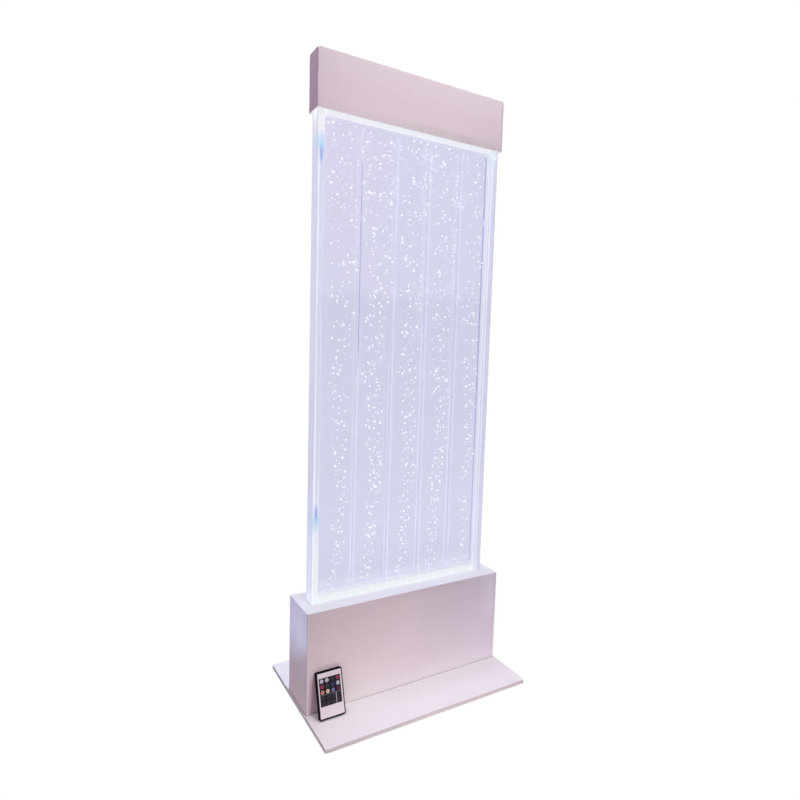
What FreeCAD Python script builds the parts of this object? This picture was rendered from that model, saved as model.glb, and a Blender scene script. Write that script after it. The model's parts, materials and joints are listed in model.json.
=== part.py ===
import FreeCAD, Part
import os
import Sketcher

# Floor-standing bubble wall. A clear water panel with five air channels stands in a plinth on a base plate.
# A box cap with a light bar lifts off its top, and a card remote leans on the plinth's front.
# Millimetres, +Z up, front towards -Y, origin on the floor under the middle of the base plate.

CHANNELS = 5
KEY_COLUMNS = 4
KEY_ROWS = 5
LEDS = 22
VENTS = 10
PUMP_RIBS = 6
FULL_TURN = 360
UPRIGHT = FreeCAD.Rotation()
ALONG_X = FreeCAD.Rotation(FreeCAD.Vector(0, 1, 0), 90)
ALONG_Y = FreeCAD.Rotation(FreeCAD.Vector(1, 0, 0), -90)
TOLERANCE = 1e-4

# Driving dimensions
SIZES = {
    # base plate, its pads and screws
    "base_side_margin": 2.5,
    "base_depth": 295,
    "base_thickness": 7,
    "base_corner_radius": 3,
    "pad_height": 1,
    "pad_radius": 12,
    "pad_inset": 24,
    "base_screw_length": 20,
    # plinth boards and cleats
    "plinth_side_margin": 20.5,
    "plinth_depth": 94,
    "plinth_height": 197,
    "board_thickness": 6,
    "edge_radius": 0.8,
    "cleat_side": 12,
    # screws
    "screw_radius": 1.75,
    "screw_clearance": 0.25,
    "pilot_clearance": 0.05,
    "screw_head_radius": 3.6,
    "screw_head_height": 2.2,
    "rear_screw_length": 16,
    "rear_screw_head_height": 1.9,
    "rear_screw_margin": 32,
    # vents in the rear panel
    "vent_width": 4,
    "vent_length": 46,
    "vent_pitch": 9,
    "vent_foot": 26,
    # water panel
    "tank_width": 404,
    "tank_height": 960,
    "tank_drop": 20,
    "sheet_thickness": 4,
    "sheet_edge_radius": 0.5,
    "water_gap": 18,
    "side_bar_width": 15,
    "bottom_bar_height": 34,
    "divider_thickness": 5,
    "divider_clearance": 5,
    "notch_radius": 5,
    "slot_clearance": 0.5,
    # cradle under the water panel
    "rest_height": 6,
    "cradle_wall": 2,
    "cradle_clearance": 0.5,
    "cradle_headroom": 2,
    "cradle_hole_clearance": 1.2,
    "support_thickness": 12,
    "support_inset": 32,
    "support_depth": 60,
    # air nozzles
    "nozzle_stem_radius": 2.5,
    "nozzle_fit": 0.1,
    "nozzle_bore_radius": 0.8,
    "nozzle_tip_radius": 1.5,
    "nozzle_tip_height": 8,
    "nozzle_cone_height": 5,
    "nozzle_flange_radius": 3.5,
    "nozzle_flange_thickness": 2.2,
    "seal_thickness": 1.4,
    # hoses, check valve and manifold
    "barb_radius": 2,
    "barb_bore_radius": 1,
    "barb_length": 14,
    "hose_fit": 0.05,
    "hose_wall": 1,
    "hose_shy": 1,
    "hose_lead": 10,
    "hose_run": 12,
    "hose_bend_radius": 22,
    "valve_radius": 9,
    "valve_body_length": 14,
    "valve_neck_length": 6,
    "manifold_radius": 8,
    "manifold_wall": 1.5,
    "manifold_drop": 42,
    "manifold_fit": 0.2,
    # air pump
    "pump_length": 110,
    "pump_depth": 62,
    "pump_height": 58,
    "pump_gap": 9,
    "pump_corner_radius": 10,
    "pump_top_radius": 7,
    "pump_outlet_height": 36,
    "pump_rib_width": 3,
    "pump_rib_height": 2,
    "pump_rib_pitch": 12,
    "pump_rib_margin": 12,
    "pump_foot_height": 6,
    "pump_foot_radius": 7,
    "pump_foot_inset": 14,
    # LED strips and controller
    "strip_width": 6,
    "strip_thickness": 0.4,
    "strip_margin": 0.5,
    "led_side": 3.5,
    "led_height": 0.9,
    "led_margin": 11.75,
    "controller_length": 80,
    "controller_depth": 26,
    "controller_height": 24,
    "controller_gap": 12,
    "controller_front_gap": 2,
    "controller_corner_radius": 3,
    # supply inlet
    "inlet_inset": 62,
    "inlet_height": 34,
    "inlet_flange_radius": 6,
    "inlet_flange_thickness": 2,
    "inlet_body_radius": 4,
    "inlet_body_length": 12,
    "inlet_fit": 0.05,
    "inlet_bore_radius": 2.85,
    "inlet_bore_depth": 9,
    "inlet_pin_radius": 1,
    "inlet_pin_length": 7.5,
    # cap
    "cap_height": 100,
    "cap_board": 3,
    "cap_side_gap": 1,
    "cap_face_gap": 4.5,
    "cap_engagement": 35,
    "cap_corner_radius": 4,
    "cap_rest_length": 43,
    # light bar in the cap
    "light_reach": 7,
    "light_side_gap": 1,
    "light_end_gap": 2,
    "channel_wall": 1.5,
    "diffuser_height": 14,
    "diffuser_neck": 8,
    "diffuser_wall": 1.5,
    "diffuser_fit": 0.1,
    # remote
    "remote_lean": 16.7,
    "remote_inset": 15.5,
    "remote_standoff": 0.2,
    "remote_corner_radius": 3.5,
    "remote_rim": 1.6,
    "remote_ledge": 1,
    "remote_floor": 1.2,
    "post_radius": 1.5,
    "face_thickness": 1.2,
    "face_fit": 0.1,
    "key_pitch_across": 10.7,
    "key_pitch_along": 9.7,
    "key_side_margin": 4.85,
    "key_top_margin": 12,
    "key_tray_gap": 1.1,
    "key_radius": 3.4,
    "key_hole_clearance": 0.2,
    "key_flange": 0.4,
    "key_flange_thickness": 0.6,
    "key_gap": 0.2,
    "key_rise": 0.6,
    "key_bevel": 0.3,
    "key_travel": 0.4,
    "circuit_thickness": 1,
    "circuit_gap": 0.6,
    "emitter_radius": 1.3,
    "emitter_fit": 0.2,
    "emitter_rise": 0.6,
    "cell_radius": 10,
    "cell_thickness": 2.5,
    "cell_fit": 0.1,
    "cell_headroom": 0.4,
    "tray_rim": 1.2,
    "tray_floor": 0.9,
    "tray_fit": 0.1,
}

# Positions and sizes that follow from the driving dimensions
LEVELS = {
    "tank_half": "Sizes.tank_width / 2",
    "tank_depth": "Sizes.water_gap + 2 * Sizes.sheet_thickness",
    "inner_half": "tank_half - Sizes.side_bar_width",
    "channel_width": f"(2 * inner_half - {CHANNELS - 1} * Sizes.divider_thickness) / {CHANNELS}",
    "channel_pitch": "channel_width + Sizes.divider_thickness",
    "plinth_half": "tank_half + Sizes.plinth_side_margin",
    "plinth_inner_half": "plinth_half - Sizes.board_thickness",
    "plinth_front": "-Sizes.plinth_depth / 2",
    "plinth_rear": "Sizes.plinth_depth / 2",
    "plinth_inner_front": "plinth_front + Sizes.board_thickness",
    "plinth_inner_rear": "plinth_rear - Sizes.board_thickness",
    "base_half": "plinth_half + Sizes.base_side_margin",
    "base_top": "Sizes.pad_height + Sizes.base_thickness",
    "deck_top": "base_top + Sizes.plinth_height",
    "deck_bottom": "deck_top - Sizes.board_thickness",
    "cleat_across": "plinth_inner_half - Sizes.cleat_side / 2",
    "cleat_along": "plinth_inner_rear - Sizes.cleat_side / 2",
    "pilot_radius": "Sizes.screw_radius + Sizes.pilot_clearance",
    "screw_hole_radius": "Sizes.screw_radius + Sizes.screw_clearance",
    "tank_bottom": "deck_top - Sizes.tank_drop",
    "tank_top": "tank_bottom + Sizes.tank_height",
    "bar_top": "tank_bottom + Sizes.bottom_bar_height",
    "cradle_floor": "tank_bottom - Sizes.rest_height",
    "cradle_bottom": "cradle_floor - Sizes.cradle_wall",
    "cradle_inner": "tank_depth / 2 + Sizes.cradle_clearance",
    "cradle_outer": "cradle_inner + Sizes.cradle_wall",
    "cradle_lip": "deck_bottom - Sizes.cradle_headroom",
    "support_across": "tank_half - Sizes.support_inset",
    "support_inner": "support_across - Sizes.support_thickness / 2",
    "nozzle_along": "Sizes.water_gap / 4",
    "flange_top": "tank_bottom - Sizes.seal_thickness",
    "flange_bottom": "flange_top - Sizes.nozzle_flange_thickness",
    "hose_bore": "Sizes.barb_radius + Sizes.hose_fit",
    "hose_radius": "hose_bore + Sizes.hose_wall",
    "manifold_axis": "cradle_bottom - Sizes.manifold_drop",
    "manifold_half": "support_across + Sizes.support_thickness / 2",
    "pump_left": "Sizes.pump_gap - support_inner",
    "pump_right": "pump_left + Sizes.pump_length",
    "pump_bottom": "base_top + Sizes.pump_foot_height",
    "outlet_axis": "pump_bottom + Sizes.pump_outlet_height",
    "valve_left": "pump_right + Sizes.barb_length + Sizes.hose_lead",
    "valve_length": "2 * Sizes.barb_length + 2 * Sizes.valve_neck_length + Sizes.valve_body_length",
    "valve_right": "valve_left + valve_length",
    "bend_left": "valve_right + Sizes.hose_run",
    "inlet_across": "bend_left + Sizes.hose_bend_radius",
    "strip_half": "inner_half - Sizes.light_end_gap",
    "led_row_half": "strip_half - Sizes.led_margin",
    "led_pitch": f"2 * led_row_half / {LEDS - 1}",
    "cap_bottom": "tank_top - Sizes.cap_engagement",
    "cap_top": "cap_bottom + Sizes.cap_height",
    "cap_inner_half": "tank_half + Sizes.cap_side_gap",
    "cap_inner_depth": "tank_depth + 2 * Sizes.cap_face_gap",
    "cap_depth": "cap_inner_depth + 2 * Sizes.cap_board",
    "cap_ceiling": "cap_top - Sizes.cap_board",
    "light_half": "Sizes.water_gap / 2 - Sizes.light_side_gap",
    "light_bottom": "cap_bottom - Sizes.light_reach",
    "channel_bottom": "light_bottom + Sizes.diffuser_height",
    "channel_inner": "light_half - Sizes.channel_wall",
    "neck_half": "channel_inner - Sizes.diffuser_fit",
    "neck_inner": "neck_half - Sizes.diffuser_wall",
    "divider_top": "light_bottom - Sizes.divider_clearance",
    "tray_side": "2 * Sizes.cell_radius + 2 * Sizes.tray_rim",
    "tray_height": "Sizes.tray_floor + Sizes.cell_thickness",
    "remote_half": f"{KEY_COLUMNS} * Sizes.key_pitch_across / 2 + Sizes.key_side_margin",
    "lowest_key": "tray_side + Sizes.key_tray_gap + Sizes.key_pitch_along / 2",
    "remote_length": f"tray_side + Sizes.key_tray_gap + {KEY_ROWS} * Sizes.key_pitch_along"
                     " + Sizes.key_top_margin",
    "remote_thickness": "Sizes.remote_floor + Sizes.tray_fit + tray_height + Sizes.cell_headroom"
                        " + Sizes.face_thickness",
    "face_back": "remote_thickness - Sizes.face_thickness",
    "key_flange_top": "face_back - Sizes.key_gap",
    "key_flange_bottom": "key_flange_top - Sizes.key_flange_thickness",
    "circuit_top": "key_flange_bottom - Sizes.key_travel - Sizes.key_gap",
    "circuit_bottom": "circuit_top - Sizes.circuit_thickness",
    "cavity_inset": "Sizes.remote_rim + Sizes.remote_ledge",
    "circuit_half": "remote_half - cavity_inset - Sizes.circuit_gap",
    "circuit_low": "tray_side + Sizes.circuit_gap",
    "circuit_high": "remote_length - cavity_inset - Sizes.circuit_gap",
    "remote_across": "remote_half + Sizes.remote_inset - plinth_half",
    "remote_foot_along": "plinth_front - Sizes.remote_standoff - remote_length * sin(Sizes.remote_lean)",
    "remote_foot_height": "base_top + Sizes.remote_standoff",
}

doc = FreeCAD.newDocument("bubble_wall")
sizes = doc.addObject("Spreadsheet::Sheet", "Sizes")
levels = doc.addObject("Spreadsheet::Sheet", "Levels")
nodes = []


def fill_sheet(sheet, cells, lead=""):
    """Write named cells: plain numbers, or formulas when the lead is an equals sign."""
    for row, (alias, content) in enumerate(cells.items(), start=1):
        sheet.set(f"A{row}", alias)
        sheet.set(f"B{row}", f"{lead}{content}")
        sheet.setAlias(f"B{row}", alias)
    doc.recompute()


def value(text):
    """Work out an expression over the two sheets as a plain number."""
    return float(levels.evalExpression(text))


def move(item, x="0", y="0", z="0"):
    """Tie an object's place to three expressions."""
    for axis, text in zip("xyz", (x, y, z)):
        item.setExpression(f"Placement.Base.{axis}", text)


def new_body(label, x="0", y="0", z="0", turn=UPRIGHT):
    """Start a body with its own origin at the given place."""
    body = doc.addObject("PartDesign::Body", label)
    body.Label = label
    body.Placement = FreeCAD.Placement(FreeCAD.Vector(), turn)
    move(body, x, y, z)
    return body


def new_node(item):
    """Keep a finished object as one of the parts, named by its label."""
    nodes.append(item)
    return item


def new_group(label, members):
    """Keep several alike pieces as one part made of separate solids."""
    group = doc.addObject("Part::Compound", label)
    group.Label = label
    group.Links = members
    return new_node(group)


def add_box(body, name, length, width, height, x="0", y="0", z="0", cut=False):
    """Add a block to a body, or cut one out of it, from its lowest corner."""
    kind = "PartDesign::SubtractiveBox" if cut else "PartDesign::AdditiveBox"
    box = body.newObject(kind, f"{body.Name}_{name}")
    box.setExpression("Length", length)
    box.setExpression("Width", width)
    box.setExpression("Height", height)
    move(box, x, y, z)
    return box


def add_cylinder(body, name, radius, height, x="0", y="0", z="0", turn=UPRIGHT, cut=False):
    """Add a round bar to a body, or drill one out of it, from the centre of its first end."""
    kind = "PartDesign::SubtractiveCylinder" if cut else "PartDesign::AdditiveCylinder"
    bar = body.newObject(kind, f"{body.Name}_{name}")
    bar.setExpression("Radius", radius)
    bar.setExpression("Height", height)
    bar.Placement = FreeCAD.Placement(FreeCAD.Vector(), turn)
    move(bar, x, y, z)
    return bar


def new_sketch(body, name, plane, x="0", y="0", z="0"):
    """Start a sketch on one of the body's own planes, shifted in the plane's own axes."""
    sketch = body.newObject("Sketcher::SketchObject", f"{body.Name}_{name}")
    support = next(item for item in body.Origin.OriginFeatures if item.Role == plane)
    sketch.AttachmentSupport = (support, "")
    sketch.MapMode = "FlatFace"
    for axis, text in zip("xyz", (x, y, z)):
        sketch.setExpression(f"AttachmentOffset.Base.{axis}", text)
    return sketch


def tie(sketch, kind, text, *elements):
    """Add a dimension to a sketch and bind it to an expression."""
    index = sketch.addConstraint(Sketcher.Constraint(kind, *elements, value(text)))
    sketch.setExpression(f"Constraints[{index}]", text)


def tie_point(sketch, geometry, end, x, y):
    """Hold one end of a line or arc, or a circle's centre, at two expressions from the sketch's origin."""
    tie(sketch, "DistanceX", x, -1, 1, geometry, end)
    tie(sketch, "DistanceY", y, -1, 1, geometry, end)


def draw_outline(sketch, corners):
    """Draw a closed outline of straight sides through corners given as pairs of expressions."""
    points = [FreeCAD.Vector(value(x), value(y)) for x, y in corners]
    following = points[1:] + points[:1]
    first = sketch.GeometryCount
    for start, end in zip(points, following):
        sketch.addGeometry(Part.LineSegment(start, end))
    for index, (x, y) in enumerate(corners):
        after = first + (index + 1) % len(corners)
        sketch.addConstraint(Sketcher.Constraint("Coincident", first + index, 2, after, 1))
        tie_point(sketch, first + index, 1, x, y)


def draw_rectangle(sketch, left, right, low, high):
    """Draw a rectangle between four expressions."""
    draw_outline(sketch, [(left, low), (right, low), (right, high), (left, high)])


def draw_rounded(sketch, left, right, low, high, radius):
    """Draw a rectangle whose four corners are arcs."""
    near_left, near_right = f"{left} + {radius}", f"{right} - {radius}"
    near_low, near_high = f"{low} + {radius}", f"{high} - {radius}"
    sides = [
        ((near_left, low), (near_right, low)),
        ((right, near_low), (right, near_high)),
        ((near_right, high), (near_left, high)),
        ((left, near_high), (left, near_low)),
    ]
    centres = [(near_right, near_low), (near_right, near_high), (near_left, near_high), (near_left, near_low)]
    first = sketch.GeometryCount
    for start, end in sides:
        ends = [FreeCAD.Vector(value(x), value(y)) for x, y in (start, end)]
        line = sketch.addGeometry(Part.LineSegment(*ends))
        tie_point(sketch, line, 1, *start)
        tie_point(sketch, line, 2, *end)
    quarter = Part.Circle().LastParameter / len(sides)
    for index, (x, y) in enumerate(centres):
        circle = Part.Circle(FreeCAD.Vector(value(x), value(y)), FreeCAD.Vector(0, 0, 1), value(radius))
        arc = sketch.addGeometry(Part.ArcOfCircle(circle, (index - 1) * quarter, index * quarter))
        after = first + (index + 1) % len(sides)
        sketch.addConstraint(Sketcher.Constraint("Coincident", arc, 1, first + index, 2))
        sketch.addConstraint(Sketcher.Constraint("Coincident", arc, 2, after, 1))
        tie(sketch, "Radius", radius, arc)


def draw_circle(sketch, x, y, radius):
    """Draw a circle about a centre given by expressions."""
    middle = FreeCAD.Vector(value(x), value(y))
    circle = sketch.addGeometry(Part.Circle(middle, FreeCAD.Vector(0, 0, 1), value(radius)))
    tie_point(sketch, circle, 3, x, y)
    tie(sketch, "Radius", radius, circle)


def pad(body, sketch, length, symmetric=False):
    """Raise a sketch into a solid, to one side of its plane or to both."""
    feature = body.newObject("PartDesign::Pad", f"{sketch.Name}_pad")
    feature.Profile = sketch
    feature.setExpression("Length", length)
    if symmetric:
        feature.SideType = "Symmetric"
    return feature


def pocket(body, sketch, depth):
    """Cut a sketch into a body, against the direction that the sketch faces."""
    feature = body.newObject("PartDesign::Pocket", f"{sketch.Name}_pocket")
    feature.Profile = sketch
    feature.setExpression("Length", depth)
    return feature


def turned(body, corners):
    """Turn an outline of radius and height pairs about the body's own upright axis."""
    sketch = new_sketch(body, "outline", "XZ_Plane")
    draw_outline(sketch, corners)
    feature = body.newObject("PartDesign::Revolution", f"{body.Name}_turned")
    feature.Profile = sketch
    feature.ReferenceAxis = (sketch, ["V_Axis"])
    feature.Angle = FULL_TURN
    return feature


def round_edges(body, base, radius, chosen):
    """Round those edges of a feature that a test picks."""
    doc.recompute()
    names = [f"Edge{number}" for number, edge in enumerate(base.Shape.Edges, start=1) if chosen(edge)]
    feature = body.newObject("PartDesign::Fillet", f"{base.Name}_round")
    feature.Base = (base, names)
    feature.setExpression("Radius", radius)
    return feature


def at_level(axis, text):
    """Return a test for edges that lie wholly at one level of an axis."""
    level = value(text)
    return lambda edge: all(abs(getattr(vertex.Point, axis) - level) < TOLERANCE for vertex in edge.Vertexes)


def repeat(body, feature, axis, spacing, count):
    """Repeat a feature along one of the body's own axes."""
    pattern = body.newObject("PartDesign::LinearPattern", f"{feature.Name}_row")
    pattern.Originals = [feature]
    direction = next(item for item in body.Origin.OriginFeatures if item.Role == axis)
    pattern.Direction = (direction, [""])
    pattern.setExpression("Length", f"{spacing} * {count - 1}")
    pattern.Occurrences = count
    body.Tip = pattern
    return pattern


def eased_board(label, length, width, height, x, y, z, axis, level, radius="Sizes.edge_radius"):
    """Make a flat board whose outer face, at a level of one of its own axes, has eased edges."""
    body = new_body(label, x, y, z)
    blank = add_box(body, "blank", length, width, height)
    round_edges(body, blank, radius, at_level(axis, level))
    return body


def tube(label, length, x, y, z, turn=UPRIGHT):
    """Make a straight length of air hose."""
    body = new_body(label, x, y, z, turn)
    ring = new_sketch(body, "ring", "XY_Plane")
    draw_circle(ring, "0", "0", "Levels.hose_radius")
    draw_circle(ring, "0", "0", "Levels.hose_bore")
    pad(body, ring, length)
    return body


def channel_across(index):
    """Give the middle of a channel, counted from the left, as an expression."""
    return f"{index - (CHANNELS - 1) / 2} * Levels.channel_pitch"


def corner_signs():
    """Give the four corners of a rectangle as pairs of signs."""
    return [(across, along) for across in (-1, 1) for along in (-1, 1)]


def make_base():
    """Base plate with countersunk holes, its pads, and the screws that rise through it into the cleats."""
    plate = new_body("base_plate", z="Sizes.pad_height")
    outline = new_sketch(plate, "outline", "XY_Plane")
    half_depth = "Sizes.base_depth / 2"
    draw_rounded(outline, "-Levels.base_half", "Levels.base_half", f"-{half_depth}", half_depth,
                 "Sizes.base_corner_radius")
    slab = pad(plate, outline, "Sizes.base_thickness")
    round_edges(plate, slab, "Sizes.edge_radius", at_level("z", "Sizes.base_thickness"))
    pads, screws = [], []
    for number, (across, along) in enumerate(corner_signs(), start=1):
        x, y = f"{across} * Levels.cleat_across", f"{along} * Levels.cleat_along"
        add_cylinder(plate, f"hole_{number}", "Levels.screw_hole_radius", "Sizes.base_thickness", x, y,
                     cut=True)
        sink = plate.newObject("PartDesign::SubtractiveCone", f"base_plate_sink_{number}")
        sink.setExpression("Radius1", "Sizes.screw_head_radius + Sizes.screw_clearance")
        sink.setExpression("Radius2", "Levels.screw_hole_radius")
        sink.setExpression("Height", "Sizes.screw_head_height")
        move(sink, x, y)
        screw = new_body(f"base_screw_{number}", x, y, "Sizes.pad_height")
        turned(screw, [("0", "0"), ("Sizes.screw_head_radius", "0"),
                       ("Sizes.screw_radius", "Sizes.screw_head_height"),
                       ("Sizes.screw_radius", "Sizes.base_screw_length"), ("0", "Sizes.base_screw_length")])
        screws.append(screw)
        foot = new_body(f"base_pad_{number}", f"{across} * (Levels.base_half - Sizes.pad_inset)",
                        f"{along} * (Sizes.base_depth / 2 - Sizes.pad_inset)")
        add_cylinder(foot, "disc", "Sizes.pad_radius", "Sizes.pad_height")
        pads.append(foot)
    new_node(plate)
    new_group("base_pads", pads)
    new_group("base_screws", screws)


def make_plinth():
    """Plinth boards round an open inside, with the deck that the water panel passes through."""
    between = "2 * Levels.plinth_inner_half"
    new_node(eased_board("plinth_front", between, "Sizes.board_thickness", "Sizes.plinth_height",
                         "-Levels.plinth_inner_half", "Levels.plinth_front", "Levels.base_top", "y", "0"))
    left = eased_board("plinth_side_left", "Sizes.board_thickness", "Sizes.plinth_depth",
                       "Sizes.plinth_height", "-Levels.plinth_half", "Levels.plinth_front",
                       "Levels.base_top", "x", "0")
    right = eased_board("plinth_side_right", "Sizes.board_thickness", "Sizes.plinth_depth",
                        "Sizes.plinth_height", "Levels.plinth_inner_half", "Levels.plinth_front",
                        "Levels.base_top", "x", "Sizes.board_thickness")
    new_group("plinth_sides", [left, right])
    deck = new_body("plinth_deck", z="Levels.deck_bottom")
    plan = new_sketch(deck, "plan", "XY_Plane")
    draw_rectangle(plan, "-Levels.plinth_inner_half", "Levels.plinth_inner_half",
                   "Levels.plinth_inner_front", "Levels.plinth_inner_rear")
    slot_half = "(Levels.tank_half + Sizes.slot_clearance)"
    slot_depth = "(Levels.tank_depth / 2 + Sizes.slot_clearance)"
    draw_rectangle(plan, f"-{slot_half}", slot_half, f"-{slot_depth}", slot_depth)
    pad(deck, plan, "Sizes.board_thickness")
    new_node(deck)


def rear_screw_heights():
    """Give the heights of the rear panel's screws above the base plate."""
    low, high = "Sizes.rear_screw_margin", "(Sizes.plinth_height - Sizes.rear_screw_margin)"
    return [low, f"({low} + {high}) / 2", high]


def make_rear():
    """Rear panel with vents and the supply inlet's hole, its screws, and the corner cleats."""
    panel = eased_board("rear_panel", "2 * Levels.plinth_inner_half", "Sizes.board_thickness",
                        "Sizes.plinth_height", "-Levels.plinth_inner_half", "Levels.plinth_inner_rear",
                        "Levels.base_top", "y", "Sizes.board_thickness")
    screws, cleats = [], []
    inset = "Sizes.cleat_side / 2"
    for across, along in corner_signs():
        cleat = new_body(f"corner_cleat_{len(cleats) + 1}",
                         f"{across} * Levels.cleat_across - {inset}",
                         f"{along} * Levels.cleat_along - {inset}", "Levels.base_top")
        add_box(cleat, "bar", "Sizes.cleat_side", "Sizes.cleat_side", "Levels.deck_bottom - Levels.base_top")
        add_cylinder(cleat, "pilot", "Levels.pilot_radius", "Sizes.base_screw_length", inset, inset, cut=True)
        cleats.append(cleat)
        if along < 0:
            continue
        for height in rear_screw_heights():
            number = len(screws) + 1
            hole_across = f"{across} * Levels.cleat_across + Levels.plinth_inner_half"
            add_cylinder(panel, f"hole_{number}", "Levels.screw_hole_radius", "Sizes.board_thickness",
                         hole_across, "0", height, ALONG_Y, cut=True)
            add_cylinder(cleat, f"pilot_{number}", "Levels.pilot_radius", "Sizes.cleat_side",
                         inset, "0", height, ALONG_Y, cut=True)
            screw = new_body(f"rear_screw_{number}", f"{across} * Levels.cleat_across", "Levels.plinth_rear",
                             f"Levels.base_top + {height}", ALONG_Y)
            head, tail = "Sizes.rear_screw_head_height", "-Sizes.rear_screw_length"
            turned(screw, [("0", tail), ("Sizes.screw_radius", tail), ("Sizes.screw_radius", "0"),
                           ("Sizes.screw_head_radius", "0"), ("Sizes.screw_head_radius", f"{head} / 2"),
                           ("Sizes.screw_head_radius / 2", head), ("0", head)])
            screws.append(screw)
    add_cylinder(panel, "inlet_hole", "Sizes.inlet_body_radius + Sizes.inlet_fit", "Sizes.board_thickness",
                 "2 * Levels.plinth_inner_half - Sizes.inlet_inset", "0", "Sizes.inlet_height", ALONG_Y,
                 cut=True)
    vent = add_box(panel, "vent", "Sizes.vent_width", "Sizes.board_thickness", "Sizes.vent_length",
                   "Sizes.pump_gap + Levels.plinth_inner_half - Levels.support_inner", "0", "Sizes.vent_foot",
                   cut=True)
    repeat(panel, vent, "X_Axis", "Sizes.vent_pitch", VENTS)
    new_node(panel)
    new_group("rear_screws", screws)
    new_group("corner_cleats", cleats)


def make_tank():
    """Water panel: two clear sheets held apart by side bars, a bottom bar and the channel dividers."""
    bar_width, gap_half = "Sizes.side_bar_width", "Sizes.water_gap / 2"
    new_node(eased_board("tank_front_sheet", "Sizes.tank_width", "Sizes.sheet_thickness", "Sizes.tank_height",
                         "-Levels.tank_half", "-Levels.tank_depth / 2", "Levels.tank_bottom", "y", "0",
                         "Sizes.sheet_edge_radius"))
    new_node(eased_board("tank_back_sheet", "Sizes.tank_width", "Sizes.sheet_thickness", "Sizes.tank_height",
                         "-Levels.tank_half", gap_half, "Levels.tank_bottom", "y", "Sizes.sheet_thickness",
                         "Sizes.sheet_edge_radius"))
    bars = []
    for name, x in (("left", "-Levels.tank_half"), ("right", "Levels.inner_half")):
        bar = new_body(f"tank_side_bar_{name}", x, f"-{gap_half}", "Levels.tank_bottom")
        add_box(bar, "blank", bar_width, "Sizes.water_gap", "Sizes.tank_height")
        bars.append(bar)
    new_group("tank_side_bars", bars)
    floor = new_body("tank_bottom_bar", "-Levels.inner_half", f"-{gap_half}", "Levels.tank_bottom")
    add_box(floor, "blank", "2 * Levels.inner_half", "Sizes.water_gap", "Sizes.bottom_bar_height")
    for index in range(CHANNELS):
        add_cylinder(floor, f"hole_{index + 1}", "Sizes.nozzle_stem_radius + Sizes.nozzle_fit",
                     "Sizes.bottom_bar_height", f"Levels.inner_half + {channel_across(index)}",
                     f"{gap_half} + Levels.nozzle_along", cut=True)
    new_node(floor)
    dividers = []
    for index in range(CHANNELS - 1):
        divider = new_body(f"channel_divider_{index + 1}",
                           f"{channel_across(index)} + Levels.channel_width / 2", f"-{gap_half}",
                           "Levels.bar_top")
        add_box(divider, "blank", "Sizes.divider_thickness", "Sizes.water_gap",
                "Levels.divider_top - Levels.bar_top")
        add_cylinder(divider, "notch", "Sizes.notch_radius", "Sizes.divider_thickness", y=gap_half,
                     turn=ALONG_X, cut=True)
        dividers.append(divider)
    new_group("channel_dividers", dividers)


def make_cradle():
    """Channel that the water panel stands in, its rubber rest strips, and the two supports below it."""
    cradle = new_body("tank_cradle")
    section = new_sketch(cradle, "section", "YZ_Plane")
    inner, outer, lip = "Levels.cradle_inner", "Levels.cradle_outer", "Levels.cradle_lip"
    draw_outline(section, [(f"-{outer}", "Levels.cradle_bottom"), (outer, "Levels.cradle_bottom"),
                           (outer, lip), (inner, lip), (inner, "Levels.cradle_floor"),
                           (f"-{inner}", "Levels.cradle_floor"), (f"-{inner}", lip), (f"-{outer}", lip)])
    pad(cradle, section, "Sizes.tank_width", symmetric=True)
    for index in range(CHANNELS):
        add_cylinder(cradle, f"hole_{index + 1}", "Levels.hose_radius + Sizes.cradle_hole_clearance",
                     "Sizes.cradle_wall", channel_across(index), "Levels.nozzle_along",
                     "Levels.cradle_bottom", cut=True)
    new_node(cradle)
    rests = []
    for name, y in (("front", "-Levels.tank_depth / 2"), ("rear", "Sizes.water_gap / 2")):
        rest = new_body(f"tank_rest_{name}", "-Levels.tank_half", y, "Levels.cradle_floor")
        add_box(rest, "strip", "Sizes.tank_width", "Sizes.sheet_thickness", "Sizes.rest_height")
        rests.append(rest)
    new_group("tank_rest_strips", rests)
    supports = []
    for name, sign in (("left", -1), ("right", 1)):
        support = new_body(f"cradle_support_{name}",
                           f"{sign} * Levels.support_across - Sizes.support_thickness / 2",
                           "-Sizes.support_depth / 2", "Levels.base_top")
        add_box(support, "board", "Sizes.support_thickness", "Sizes.support_depth",
                "Levels.cradle_bottom - Levels.base_top")
        add_cylinder(support, "seat", "Sizes.manifold_radius + Sizes.manifold_fit", "Sizes.support_thickness",
                     "0", "Sizes.support_depth / 2 + Levels.nozzle_along",
                     "Levels.manifold_axis - Levels.base_top", ALONG_X, cut=True)
        supports.append(support)
    new_group("cradle_supports", supports)


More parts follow.
